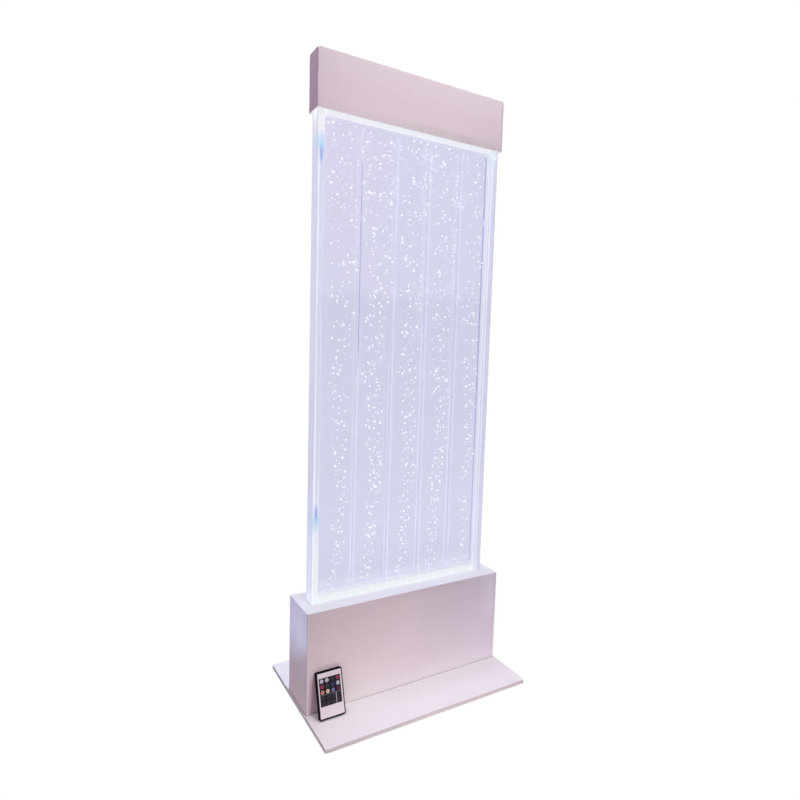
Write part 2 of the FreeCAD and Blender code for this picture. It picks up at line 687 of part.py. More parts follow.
def make_nozzles():
    """Air nozzles through the bottom bar, each with a flange and a seal below the water panel."""
    nozzles, seals = [], []
    bore, stem, flange = "Sizes.nozzle_bore_radius", "Sizes.nozzle_stem_radius", "Sizes.nozzle_flange_radius"
    tip_top = "(Levels.bar_top + Sizes.nozzle_tip_height)"
    barb_end = "(Levels.flange_bottom - Sizes.barb_length)"
    for index in range(CHANNELS):
        nozzle = new_body(f"air_nozzle_{index + 1}", channel_across(index), "Levels.nozzle_along")
        turned(nozzle, [(bore, barb_end), ("Sizes.barb_radius", barb_end),
                        ("Sizes.barb_radius", "Levels.flange_bottom"), (flange, "Levels.flange_bottom"),
                        (flange, "Levels.flange_top"), (stem, "Levels.flange_top"),
                        (stem, f"{tip_top} - Sizes.nozzle_cone_height"),
                        ("Sizes.nozzle_tip_radius", tip_top), (bore, tip_top)])
        nozzles.append(nozzle)
        seal = new_body(f"nozzle_seal_{index + 1}", channel_across(index), "Levels.nozzle_along")
        hole = "(Sizes.nozzle_stem_radius + Sizes.nozzle_fit)"
        turned(seal, [(hole, "Levels.flange_top"), (flange, "Levels.flange_top"),
                      (flange, "Levels.tank_bottom"), (hole, "Levels.tank_bottom")])
        seals.append(seal)
    new_group("air_nozzles", nozzles)
    new_group("nozzle_seals", seals)


def make_manifold():
    """Manifold pipe seated in the two supports, with a spigot up to each nozzle and one down to the pump."""
    manifold = new_body("air_manifold", "0", "Levels.nozzle_along", "Levels.manifold_axis")
    half, reach = "Levels.manifold_half", "Sizes.manifold_radius + Sizes.barb_length"
    add_cylinder(manifold, "pipe", "Sizes.manifold_radius", f"2 * {half}", f"-{half}", turn=ALONG_X)
    for index in range(CHANNELS):
        add_cylinder(manifold, f"spigot_{index + 1}", "Sizes.barb_radius", reach, channel_across(index))
    add_cylinder(manifold, "inlet", "Sizes.barb_radius", reach, "Levels.inlet_across", z=f"-({reach})")
    add_cylinder(manifold, "bore", "Sizes.manifold_radius - Sizes.manifold_wall",
                 f"2 * ({half} - Sizes.manifold_wall)", f"Sizes.manifold_wall - {half}", turn=ALONG_X,
                 cut=True)
    for index in range(CHANNELS):
        add_cylinder(manifold, f"spigot_bore_{index + 1}", "Sizes.barb_bore_radius", reach,
                     channel_across(index), cut=True)
    add_cylinder(manifold, "inlet_bore", "Sizes.barb_bore_radius", reach, "Levels.inlet_across",
                 z=f"-({reach})", cut=True)
    new_node(manifold)


def make_hoses():
    """Hose from the pump to the check valve, bent hose on to the manifold, and a riser to each nozzle."""
    feed = tube("pump_hose", "Levels.valve_left + Sizes.barb_length - Levels.pump_right - 2 * Sizes.hose_shy",
                "Levels.pump_right + Sizes.hose_shy", "Levels.nozzle_along", "Levels.outlet_axis", ALONG_X)
    bent = new_body("valve_hose")
    start = "(Levels.valve_right - Sizes.barb_length + Sizes.hose_shy)"
    end = "(Levels.manifold_axis - Sizes.manifold_radius - Sizes.hose_shy)"
    turn_top = "(Levels.outlet_axis + Sizes.hose_bend_radius)"
    path = new_sketch(bent, "path", "XZ_Plane", z="-Levels.nozzle_along")
    level, across = "Levels.outlet_axis", "Levels.inlet_across"
    runs = [((start, level), ("Levels.bend_left", level)), ((across, turn_top), (across, end))]
    for first, last in runs:
        ends = [FreeCAD.Vector(value(x), value(y)) for x, y in (first, last)]
        line = path.addGeometry(Part.LineSegment(*ends))
        tie_point(path, line, 1, *first)
        tie_point(path, line, 2, *last)
    middle = FreeCAD.Vector(value("Levels.bend_left"), value(turn_top))
    circle = Part.Circle(middle, FreeCAD.Vector(0, 0, 1), value("Sizes.hose_bend_radius"))
    whole = circle.LastParameter
    arc = path.addGeometry(Part.ArcOfCircle(circle, -whole / 4, 0))
    path.addConstraint(Sketcher.Constraint("Coincident", arc, 1, 0, 2))
    path.addConstraint(Sketcher.Constraint("Coincident", arc, 2, 1, 1))
    tie(path, "Radius", "Sizes.hose_bend_radius", arc)
    ring = new_sketch(bent, "ring", "YZ_Plane", "Levels.nozzle_along", level, start)
    draw_circle(ring, "0", "0", "Levels.hose_radius")
    draw_circle(ring, "0", "0", "Levels.hose_bore")
    pipe = bent.newObject("PartDesign::AdditivePipe", "valve_hose_pipe")
    pipe.Profile = ring
    pipe.Spine = path
    risers = []
    foot = "(Levels.manifold_axis + Sizes.manifold_radius + Sizes.hose_shy)"
    for index in range(CHANNELS):
        risers.append(tube(f"riser_hose_{index + 1}", f"Levels.flange_bottom - Sizes.hose_shy - {foot}",
                           channel_across(index), "Levels.nozzle_along", foot))
    new_group("air_hoses", [feed, bent] + risers)


def make_pump():
    """Air pump with a ribbed top and a spigot, on rubber feet, and the valve that keeps water out of it."""
    half_depth = "Sizes.pump_depth / 2"
    pump = new_body("air_pump", "Levels.pump_left", "0", "Levels.pump_bottom")
    plan = new_sketch(pump, "plan", "XY_Plane")
    draw_rounded(plan, "0", "Sizes.pump_length", f"-{half_depth}", half_depth, "Sizes.pump_corner_radius")
    shell = pad(pump, plan, "Sizes.pump_height")
    round_edges(pump, shell, "Sizes.pump_top_radius", at_level("z", "Sizes.pump_height"))
    add_cylinder(pump, "spigot", "Sizes.barb_radius", "Sizes.barb_length", "Sizes.pump_length",
                 "Levels.nozzle_along", "Sizes.pump_outlet_height", ALONG_X)
    add_cylinder(pump, "spigot_bore", "Sizes.barb_bore_radius", "Sizes.barb_length", "Sizes.pump_length",
                 "Levels.nozzle_along", "Sizes.pump_outlet_height", ALONG_X, cut=True)
    rib = add_box(pump, "rib", "Sizes.pump_rib_width", "Sizes.pump_depth - 2 * Sizes.pump_rib_margin",
                  "2 * Sizes.pump_rib_height", "Sizes.pump_rib_margin + Sizes.pump_rib_pitch",
                  f"Sizes.pump_rib_margin - {half_depth}", "Sizes.pump_height - Sizes.pump_rib_height")
    repeat(pump, rib, "X_Axis", "Sizes.pump_rib_pitch", PUMP_RIBS)
    new_node(pump)
    feet = []
    for across, along in corner_signs():
        foot = new_body(f"pump_foot_{len(feet) + 1}",
                        f"(Levels.pump_left + Levels.pump_right) / 2"
                        f" + {across} * (Sizes.pump_length / 2 - Sizes.pump_foot_inset)",
                        f"{along} * ({half_depth} - Sizes.pump_foot_inset)", "Levels.base_top")
        add_cylinder(foot, "disc", "Sizes.pump_foot_radius", "Sizes.pump_foot_height")
        feet.append(foot)
    new_group("pump_feet", feet)
    valve = new_body("check_valve", "Levels.valve_left", "Levels.nozzle_along", "Levels.outlet_axis", ALONG_X)
    barb, bore, wide = "Sizes.barb_radius", "Sizes.barb_bore_radius", "Sizes.valve_radius"
    shoulder = "(Sizes.barb_length + Sizes.valve_neck_length)"
    turned(valve, [(bore, "0"), (barb, "0"), (barb, "Sizes.barb_length"), (wide, shoulder),
                   (wide, f"Levels.valve_length - {shoulder}"),
                   (barb, "Levels.valve_length - Sizes.barb_length"),
                   (barb, "Levels.valve_length"), (bore, "Levels.valve_length")])
    new_node(valve)


def led_strip(label, y, z, turn=UPRIGHT):
    """Make a flexible strip with a row of LEDs standing on it."""
    body = new_body(label, "0", y, z, turn)
    add_box(body, "tape", "2 * Levels.strip_half", "Sizes.strip_width", "Sizes.strip_thickness",
            "-Levels.strip_half", "-Sizes.strip_width / 2")
    led = add_box(body, "led", "Sizes.led_side", "Sizes.led_side", "Sizes.led_height",
                  "-Levels.led_row_half - Sizes.led_side / 2", "-Sizes.led_side / 2",
                  "Sizes.strip_thickness")
    repeat(body, led, "X_Axis", "Levels.led_pitch", LEDS)
    return new_node(body)


def make_electrics():
    """LED strip below the bottom bar, the LED controller, and the supply inlet in the rear panel."""
    led_strip("bottom_led_strip", "Sizes.strip_margin + Sizes.strip_width / 2 - Sizes.water_gap / 2",
              "Levels.cradle_floor")
    controller = new_body("led_controller",
                          "Levels.support_inner - Sizes.controller_gap - Sizes.controller_length",
                          "Levels.plinth_inner_front + Sizes.controller_front_gap", "Levels.base_top")
    plan = new_sketch(controller, "plan", "XY_Plane")
    draw_rounded(plan, "0", "Sizes.controller_length", "0", "Sizes.controller_depth",
                 "Sizes.controller_corner_radius")
    case = pad(controller, plan, "Sizes.controller_height")
    round_edges(controller, case, "Sizes.edge_radius", at_level("z", "Sizes.controller_height"))
    new_node(controller)
    inlet = new_body("power_inlet", "Levels.plinth_inner_half - Sizes.inlet_inset", "Levels.plinth_rear",
                     "Levels.base_top + Sizes.inlet_height", ALONG_Y)
    face, bottom = "Sizes.inlet_flange_thickness", "(Sizes.inlet_flange_thickness - Sizes.inlet_bore_depth)"
    pin, bore, barrel = "Sizes.inlet_pin_radius", "Sizes.inlet_bore_radius", "Sizes.inlet_body_radius"
    turned(inlet, [("0", "-Sizes.inlet_body_length"), (barrel, "-Sizes.inlet_body_length"), (barrel, "0"),
                   ("Sizes.inlet_flange_radius", "0"), ("Sizes.inlet_flange_radius", face), (bore, face),
                   (bore, bottom), (pin, bottom), (pin, f"{bottom} + Sizes.inlet_pin_length"),
                   ("0", f"{bottom} + Sizes.inlet_pin_length")])
    new_node(inlet)


def make_cap():
    """Cap boards, and the two blocks inside that rest on the water panel."""
    inner, half_depth = "Levels.cap_inner_half", "Levels.cap_depth / 2"
    ends = []
    for name, x, outer in (("left", f"-{inner} - Sizes.cap_board", "0"), ("right", inner, "Sizes.cap_board")):
        end = new_body(f"cap_end_{name}", x)
        side = new_sketch(end, "side", "YZ_Plane")
        draw_rectangle(side, f"-{half_depth}", half_depth, "Levels.cap_bottom", "Levels.cap_top")
        slab = pad(end, side, "Sizes.cap_board")
        rounded = round_edges(end, slab, "Sizes.cap_corner_radius",
                              lambda edge: at_level("z", "Levels.cap_top")(edge)
                              and abs(edge.tangentAt(edge.FirstParameter).x) > 1 - TOLERANCE)
        round_edges(end, rounded, "Sizes.edge_radius", at_level("x", outer))
        ends.append(end)
    new_group("cap_ends", ends)
    front = eased_board("cap_front", f"2 * {inner}", "Sizes.cap_board", "Sizes.cap_height", f"-{inner}",
                        f"-{half_depth}", "Levels.cap_bottom", "y", "0")
    back = eased_board("cap_back", f"2 * {inner}", "Sizes.cap_board", "Sizes.cap_height", f"-{inner}",
                       "Levels.cap_inner_depth / 2", "Levels.cap_bottom", "y", "Sizes.cap_board")
    new_group("cap_faces", [front, back])
    top = new_body("cap_top", f"-{inner}", "-Levels.cap_inner_depth / 2", "Levels.cap_ceiling")
    add_box(top, "board", f"2 * {inner}", "Levels.cap_inner_depth", "Sizes.cap_board")
    new_node(top)
    rests = []
    for name, x in (("left", f"-{inner}"), ("right", f"{inner} - Sizes.cap_rest_length")):
        rest = new_body(f"cap_rest_{name}", x, "-Levels.cap_inner_depth / 2", "Levels.tank_top")
        add_box(rest, "block", "Sizes.cap_rest_length", "Levels.cap_inner_depth",
                "Levels.cap_ceiling - Levels.tank_top")
        rests.append(rest)
    new_group("cap_rests", rests)


def make_light_bar():
    """Light bar that hangs from the cap's rest blocks between the sheets: channel, LED strip and diffuser."""
    channel = new_body("light_bar_channel")
    section = new_sketch(channel, "section", "YZ_Plane")
    outer, inner, low = "Levels.light_half", "Levels.channel_inner", "Levels.channel_bottom"
    ceiling = "(Levels.tank_top - Sizes.channel_wall)"
    draw_outline(section, [(f"-{outer}", low), (f"-{inner}", low), (f"-{inner}", ceiling), (inner, ceiling),
                           (inner, low), (outer, low), (outer, "Levels.tank_top"),
                           (f"-{outer}", "Levels.tank_top")])
    pad(channel, section, "2 * Levels.strip_half", symmetric=True)
    new_node(channel)
    diffuser = new_body("light_bar_diffuser")
    profile = new_sketch(diffuser, "profile", "YZ_Plane")
    foot, neck, hollow = "Levels.light_bottom", "Levels.neck_half", "Levels.neck_inner"
    neck_top, floor = f"({low} + Sizes.diffuser_neck)", f"({foot} + Sizes.diffuser_wall)"
    draw_outline(profile, [(f"-{outer}", foot), (outer, foot), (outer, low), (neck, low), (neck, neck_top),
                           (hollow, neck_top), (hollow, floor), (f"-{hollow}", floor),
                           (f"-{hollow}", neck_top), (f"-{neck}", neck_top), (f"-{neck}", low),
                           (f"-{outer}", low)])
    pad(diffuser, profile, "2 * Levels.strip_half", symmetric=True)
    new_node(diffuser)
    led_strip("top_led_strip", "0", ceiling, FreeCAD.Rotation(FreeCAD.Vector(1, 0, 0), FULL_TURN / 2))


def remote_body(label, across="0", along="0"):
    """Start a body in the remote's own axes: across its face, up along it, and out of its front."""
    turn = FreeCAD.Rotation(FreeCAD.Vector(1, 0, 0), FULL_TURN / 4)
    body = new_body(label, f"Levels.remote_across + {across}",
                    f"Levels.remote_foot_along + {along} * sin(Sizes.remote_lean)",
                    f"Levels.remote_foot_height + {along} * cos(Sizes.remote_lean)", turn)
    body.setExpression("Placement.Rotation.Angle", f"{FULL_TURN / 4} - Sizes.remote_lean")
    return body


def key_places():
    """Give each key's row and column from the top left, and its centre on the remote as two expressions."""
    for row in range(KEY_ROWS):
        for column in range(KEY_COLUMNS):
            across = f"({column - (KEY_COLUMNS - 1) / 2} * Sizes.key_pitch_across)"
            along = f"(Levels.lowest_key + {KEY_ROWS - 1 - row} * Sizes.key_pitch_along)"
            yield row + 1, column + 1, across, along


def make_remote():
    """Remote case with its battery tray, coin cell, circuit board, face plate and keys."""
    half, length, thickness = "Levels.remote_half", "Levels.remote_length", "Levels.remote_thickness"
    case = remote_body("remote_case")
    outline = new_sketch(case, "outline", "XY_Plane")
    draw_rounded(outline, f"-{half}", half, "0", length, "Sizes.remote_corner_radius")
    pad(case, outline, thickness)
    rim, inset = "Sizes.remote_rim", "Levels.cavity_inset"
    seat = new_sketch(case, "seat", "XY_Plane", z=thickness)
    draw_rounded(seat, f"{rim} - {half}", f"{half} - {rim}", rim, f"{length} - {rim}",
                 "(Sizes.remote_corner_radius - Sizes.remote_rim)")
    pocket(case, seat, "Sizes.face_thickness")
    cavity = new_sketch(case, "cavity", "XY_Plane", z=thickness)
    draw_rectangle(cavity, f"{inset} - {half}", f"{half} - {inset}", inset, f"{length} - {inset}")
    pocket(case, cavity, f"{thickness} - Sizes.remote_floor")
    add_box(case, "tray_slot", "Levels.tray_side + 2 * Sizes.tray_fit", inset,
            "Levels.tray_height + 2 * Sizes.tray_fit", "-Levels.tray_side / 2 - Sizes.tray_fit", "0",
            "Sizes.remote_floor", cut=True)
    emitter_axis = "(Levels.circuit_bottom + Sizes.circuit_thickness / 2)"
    add_cylinder(case, "emitter_hole", "Sizes.emitter_radius + Sizes.emitter_fit", inset,
                 "0", f"{length} - {inset}", emitter_axis, ALONG_Y, cut=True)
    for number, (across, along) in enumerate(corner_signs(), start=1):
        middle = "(Levels.circuit_low + Levels.circuit_high) / 2"
        reach = "((Levels.circuit_high - Levels.circuit_low) / 2 - 2 * Sizes.post_radius)"
        add_cylinder(case, f"post_{number}", "Sizes.post_radius",
                     "Levels.circuit_bottom - Sizes.remote_floor",
                     f"{across} * (Levels.circuit_half - 2 * Sizes.post_radius)",
                     f"{middle} + {along} * {reach}", "Sizes.remote_floor")
    new_node(case)
    board = remote_body("remote_circuit")
    add_box(board, "plate", "2 * Levels.circuit_half", "Levels.circuit_high - Levels.circuit_low",
            "Sizes.circuit_thickness", "-Levels.circuit_half", "Levels.circuit_low", "Levels.circuit_bottom")
    emitter = remote_body("remote_emitter")
    add_cylinder(emitter, "lens", "Sizes.emitter_radius",
                 f"{length} + Sizes.emitter_rise - Levels.circuit_high", "0", "Levels.circuit_high",
                 emitter_axis, ALONG_Y)
    new_group("remote_board", [board, emitter])
    tray = remote_body("battery_tray")
    tray_back = "(Sizes.remote_floor + Sizes.tray_fit)"
    add_box(tray, "block", "Levels.tray_side", "Levels.tray_side", "Levels.tray_height",
            "-Levels.tray_side / 2", "0", tray_back)
    add_cylinder(tray, "well", "Sizes.cell_radius + Sizes.cell_fit", "Sizes.cell_thickness", "0",
                 "Levels.tray_side / 2", f"{tray_back} + Sizes.tray_floor", cut=True)
    new_node(tray)
    cell = remote_body("coin_cell")
    add_cylinder(cell, "can", "Sizes.cell_radius", "Sizes.cell_thickness", "0", "Levels.tray_side / 2",
                 f"{tray_back} + Sizes.tray_floor")
    new_node(cell)
    face = remote_body("remote_face")
    plate = new_sketch(face, "plate", "XY_Plane", z="Levels.face_back")
    gap = "(Sizes.remote_rim + Sizes.face_fit)"
    draw_rounded(plate, f"{gap} - {half}", f"{half} - {gap}", gap, f"{length} - {gap}",
                 f"(Sizes.remote_corner_radius - {gap})")
    for row, column, across, along in key_places():
        draw_circle(plate, across, along, "Sizes.key_radius + Sizes.key_hole_clearance")
    pad(face, plate, "Sizes.face_thickness")
    new_node(face)


def make_keys():
    """Remote keys, each with a flange that keeps it behind the face plate."""
    radius, flange = "Sizes.key_radius", "(Sizes.key_radius + Sizes.key_flange)"
    crown = "(Levels.remote_thickness + Sizes.key_rise)"
    for row, column, across, along in key_places():
        key = remote_body(f"key_row{row}_column{column}", across, along)
        turned(key, [("0", "Levels.key_flange_bottom"), (flange, "Levels.key_flange_bottom"),
                     (flange, "Levels.key_flange_top"), (radius, "Levels.key_flange_top"),
                     (radius, f"{crown} - Sizes.key_bevel"), (f"{radius} - 2 * Sizes.key_bevel", crown),
                     ("0", crown)])
        new_node(key)


def write_parts():
    """Stop at a failed feature or an unsound shape, then write each part to its own file."""
    doc.recompute()
    failed = [item.Name for item in doc.Objects if "Invalid" in item.State or "Error" in item.State]
    if failed:
        raise RuntimeError(f"features failed: {failed}")
    for node in nodes:
        if node.Shape.isNull() or not node.Shape.isValid() or not node.Shape.Solids:
            raise RuntimeError(f"unsound shape: {node.Label}")
    os.makedirs("parts", exist_ok=True)
    for node in nodes:
        node.Shape.exportStep(f"parts/{node.Label}.step")
        print(f"{node.Label}: {len(node.Shape.Solids)} solids, {node.Shape.Volume:.1f} mm3")


fill_sheet(sizes, SIZES)
fill_sheet(levels, LEVELS, "=")
make_base()
make_plinth()
make_rear()
make_tank()
make_cradle()
make_nozzles()
make_manifold()
make_hoses()
make_pump()
make_electrics()
make_cap()
make_light_bar()
make_remote()
make_keys()
write_parts()
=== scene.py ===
"""Looks of a floor-standing bubble wall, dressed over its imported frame. Metres, +Z up, front towards -Y."""

import json
import logging
import math
from dataclasses import dataclass, field
from enum import Enum
from typing import Any

import bmesh
import bpy
from mathutils import Matrix, Vector

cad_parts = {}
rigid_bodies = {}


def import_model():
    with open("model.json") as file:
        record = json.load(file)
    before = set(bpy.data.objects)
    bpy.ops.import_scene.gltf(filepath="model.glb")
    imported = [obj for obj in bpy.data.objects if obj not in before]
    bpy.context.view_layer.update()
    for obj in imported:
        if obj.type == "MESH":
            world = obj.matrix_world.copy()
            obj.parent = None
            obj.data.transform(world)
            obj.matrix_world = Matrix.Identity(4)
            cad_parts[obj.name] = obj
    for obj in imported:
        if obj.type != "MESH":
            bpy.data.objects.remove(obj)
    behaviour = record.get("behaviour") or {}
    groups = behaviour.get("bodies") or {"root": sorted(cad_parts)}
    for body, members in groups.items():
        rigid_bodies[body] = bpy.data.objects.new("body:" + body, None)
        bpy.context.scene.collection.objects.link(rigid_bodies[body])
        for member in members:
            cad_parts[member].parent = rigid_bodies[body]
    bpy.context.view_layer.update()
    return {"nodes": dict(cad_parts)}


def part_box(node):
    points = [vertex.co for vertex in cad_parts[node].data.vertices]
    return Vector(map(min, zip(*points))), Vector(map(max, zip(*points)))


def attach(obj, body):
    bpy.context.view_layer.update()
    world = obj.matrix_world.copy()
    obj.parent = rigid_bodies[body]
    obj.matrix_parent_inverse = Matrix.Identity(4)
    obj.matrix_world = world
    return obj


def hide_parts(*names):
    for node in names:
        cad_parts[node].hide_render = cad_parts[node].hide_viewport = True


LOG = logging.getLogger("bubble_wall")
Colour = tuple[float, float, float]
Point = tuple[float, float, float]
Pair = tuple[float, float]
Band = tuple[float, float, float]
Socket = bpy.types.NodeSocket
Material = bpy.types.Material
Piece = bpy.types.Object
BLACK: Colour = (0.0, 0.0, 0.0)
WHITE: Colour = (1.0, 1.0, 1.0)
EVEN: Point = (1.0, 1.0, 1.0)
LOT = "lot"
LAMP_PITCH = 0.0165
WIDE_BEAM = 180.0


class Slot(Enum):
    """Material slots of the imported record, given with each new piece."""

    SCREW_STEEL = "screw_steel"
    CLEAR_ACRYLIC = "clear_acrylic"


class Body(Enum):
    """Moving bodies that new pieces ride on."""

    STAND = "stand"


class Value:
    """A number on a node tree: arithmetic with it adds Math nodes."""

    def __init__(self, tree: "Tree", socket: Socket) -> None:
        """Wrap an output socket of a tree."""
        self.tree = tree
        self.socket = socket

    def _math(self, operation: str, *items: Any) -> "Value":
        """Add one Math node over values and plain numbers."""
        return self.tree.value("ShaderNodeMath", {"operation": operation}, dict(enumerate(items)))

    def __add__(self, other: Any) -> "Value":
        """Sum."""
        return self._math("ADD", self, other)

    def __sub__(self, other: Any) -> "Value":
        """Difference."""
        return self._math("SUBTRACT", self, other)

    def __rsub__(self, other: Any) -> "Value":
        """Difference from a plain number."""
        return self._math("SUBTRACT", other, self)

    def __mul__(self, other: Any) -> "Value":
        """Product."""
        return self._math("MULTIPLY", self, other)

    def __truediv__(self, other: Any) -> "Value":
        """Quotient."""
        return self._math("DIVIDE", self, other)

    def __pow__(self, other: Any) -> "Value":
        """Power."""
        return self._math("POWER", self, other)

    def __mod__(self, other: Any) -> "Value":
        """Remainder that stays positive."""
        return self._math("FLOORED_MODULO", self, other)

    def __abs__(self) -> "Value":
        """Size without its sign."""
        return self._math("ABSOLUTE", self)

    __radd__ = __add__
    __rmul__ = __mul__

    def floor(self) -> "Value":
        """Next whole number down."""
        return self._math("FLOOR", self)

    def sine(self) -> "Value":
        """Sine of an angle in radians."""
        return self._math("SINE", self)

    def most(self, other: Any) -> "Value":
        """The larger of two numbers."""
        return self._math("MAXIMUM", self, other)

    def least(self, other: Any) -> "Value":
        """The smaller of two numbers."""
        return self._math("MINIMUM", self, other)

    def span(self, low: float, high: float) -> "Value":
        """Rise smoothly from 0 at one level to 1 at another, which may be the lower one.

        Args:
            low: level where the result is 0.
            high: level where the result is 1.

        Returns:
            The mask between them.
        """
        limits = {"Value": self, "From Min": min(low, high), "From Max": max(low, high)}
        ends = {"To Min": float(low > high), "To Max": float(low < high)}
        return self.tree.value("ShaderNodeMapRange", {"interpolation_type": "SMOOTHSTEP"}, limits | ends)

    def near(self, centre: float, half: float, soft: float) -> "Value":
        """Mask a band.

        Args:
            centre: middle of the band.
            half: half of its full width.
            soft: width over which it fades on each side.

        Returns:
            1 in the band and 0 away from it.
        """
        return abs(self - centre).span(half + soft, half)


class Tree:
    """Adds nodes to a shader or geometry tree and links them."""

    def __init__(self, nodes: bpy.types.NodeTree) -> None:
        """Work on one node tree."""
        self.nodes = nodes

    def feed(self, socket: Socket, item: Any) -> None:
        """Fill an input socket.

        Args:
            socket: the input.
            item: value or socket to link into it, or a plain setting.
        """
        if isinstance(item, Value):
            item = item.socket
        if isinstance(item, Socket):
            self.nodes.links.new(item, socket)
        else:
            socket.default_value = item

    def node(self, kind: str, settings: dict[str, Any] | None = None,
             inputs: dict[str | int, Any] | None = None) -> bpy.types.Node:
        """Add a node.

        Args:
            kind: the node's type.
            settings: its own properties, set first.
            inputs: values, links or plain settings by socket name or index.

        Returns:
            The new node.
        """
        made = self.nodes.nodes.new(kind)
        for name, setting in (settings or {}).items():
            setattr(made, name, setting)
        for socket, item in (inputs or {}).items():
            self.feed(made.inputs[socket], item)
        return made

    def value(self, kind: str, settings: dict[str, Any] | None = None,
              inputs: dict[str | int, Any] | None = None, output: int = 0) -> Value:
        """Add a node and wrap one of its outputs."""
        return Value(self, self.node(kind, settings, inputs).outputs[output])


class Skin(Tree):
    """The shader tree of one material."""

    def __init__(self, name: str) -> None:
        """Start an empty material.

        Args:
            name: the material's name.
        """
        self.material = bpy.data.materials.new(name)
        self.material.use_nodes = True
        self.material.node_tree.nodes.clear()
        super().__init__(self.material.node_tree)
        self.place = self.node("ShaderNodeTexCoord").outputs["Object"]

    def axes(self, vector: Socket | None = None) -> tuple[Value, Value, Value]:
        """Split a vector, or the place on the object, into its three parts."""
        parts = self.node("ShaderNodeSeparateXYZ", None, {0: vector or self.place}).outputs
        return Value(self, parts[0]), Value(self, parts[1]), Value(self, parts[2])

    def framed(self, origin: Point, turn: Point) -> Socket:
        """Give the place in a frame with its own origin and turn, in radians."""
        return self.node("ShaderNodeMapping", {"vector_type": "TEXTURE"},
                         {"Vector": self.place, "Location": origin, "Rotation": turn}).outputs[0]

    def past(self, half: Pair) -> Value:
        """Give the distance outside an upright box about the middle, below 0 inside it."""
        across, along, _ = self.axes()
        return (abs(across) - half[0]).most(abs(along) - half[1])

    def lamps(self) -> Value:
        """Give waves from 0 to 1 along the panel, one for each lamp."""
        across, _, _ = self.axes()
        return (across * (2.0 * math.pi / LAMP_PITCH)).sine() * 0.5 + 0.5

    def noise(self, scale: float, detail: float = 2.0, stretch: Point = EVEN) -> Value:
        """Add cloudy noise.

        Args:
            scale: patches per metre.
            detail: how many finer layers it has.
            stretch: scale of the place along each axis.

        Returns:
            A number about one half.
        """
        place = self.node("ShaderNodeMapping", None, {"Vector": self.place, "Scale": stretch}).outputs[0]
        return self.value("ShaderNodeTexNoise", None, {"Vector": place, "Scale": scale, "Detail": detail})

    def mix(self, first: Any, second: Any, share: Any) -> Socket:
        """Blend two colours.

        Args:
            first: colour or socket where the share is 0.
            second: colour or socket where the share is 1.
            share: share of the second.

        Returns:
            The blended colour.
        """
        ends = {6: first if isinstance(first, Socket) else (*first, 1.0),
                7: second if isinstance(second, Socket) else (*second, 1.0)}
        return self.node("ShaderNodeMix", {"data_type": "RGBA"}, {0: share} | ends).outputs[2]

    def layered(self, colour: Any, *layers: tuple[Any, Any]) -> Socket:
        """Lay colours over one another.

        Args:
            colour: colour or socket under them all.
            layers: each colour on it, from the lowest up, with the share that it covers.

        Returns:
            The colour seen in the end.
        """
        for paint, share in layers:
            colour = self.mix(colour, paint, share)
        return colour

    def light(self, colour: Colour, share: Any) -> Socket:
        """Give light of one colour where a mask lets it through."""
        return self.mix(BLACK, colour, share)

    def bump(self, height: Value, distance: float) -> Socket:
        """Turn a height from 0 to 1 into a surface slope of that depth in metres."""
        return self.node("ShaderNodeBump", None,
                         {"Height": height, "Distance": distance, "Strength": 1.0}).outputs[0]

    def finish(self, inputs: dict[str, Any]) -> Material:
        """Close the tree with a surface shader.

        Args:
            inputs: the shader's sockets by name. A colour may have three parts.

        Returns:
            The finished material.
        """
        ready = {name: (*item, 1.0) if isinstance(item, tuple) else item for name, item in inputs.items()}
        shader = self.node("ShaderNodeBsdfPrincipled", None, ready)
        self.node("ShaderNodeOutputMaterial", None, {"Surface": shader.outputs[0]})
        return self.material


@dataclass(frozen=True)
class Finish:
    """A kind of surface. It makes its material once, under a name that no slot of the record has."""

    name: str

    def material(self) -> Material:
        """Give the material, made at the first call."""
        return bpy.data.materials.get(self.name) or self.make(Skin(self.name))

    def make(self, skin: Skin) -> Material:
        """Build the shader tree."""
        raise NotImplementedError


@dataclass(frozen=True)
class SatinPaint(Finish):
    """White paint with a mauve cast, rolled on and sanded back."""

    warm: Colour
    cool: Colour
    roughness: float
    peel: float = 0.00005
    dust: float = 0.93

    def drift(self, skin: Skin) -> Value:
        """Give the share of the cool tone, in soft clouds."""
        return skin.noise(2.6).span(0.35, 0.65)

    def marks(self, skin: Skin, colour: Socket) -> Socket:
        """Add the piece's own edge marks, and any light and shade painted on it, to the even tone."""
        return colour

    def glow(self, skin: Skin) -> Socket | None:
        """Give the light that falls on the paint from a lamp nearby."""
        return None

    def make(self, skin: Skin) -> Material:
        """Cloud the tone softly, vary the gloss and add the roller's fine peel.

        Args:
            skin: the material's tree.

        Returns:
            The finished material.
        """
        mottle = skin.noise(55.0, 3.0)
        grain = skin.noise(620.0)
        dusty = tuple(part * self.dust for part in self.warm)
        tone = skin.layered(self.warm, (self.cool, self.drift(skin)), (dusty, mottle.span(0.52, 0.9) * 0.5))
        inputs = {
            "Base Color": self.marks(skin, tone),
            "Roughness": self.roughness + 0.14 * (mottle - 0.5),
            "Normal": skin.bump(grain * 0.7 + mottle * 0.3, self.peel),
        }
        lit = self.glow(skin)
        if lit is not None:
            inputs |= {"Emission Color": lit, "Emission Strength": 1.0}
        return skin.finish(inputs)


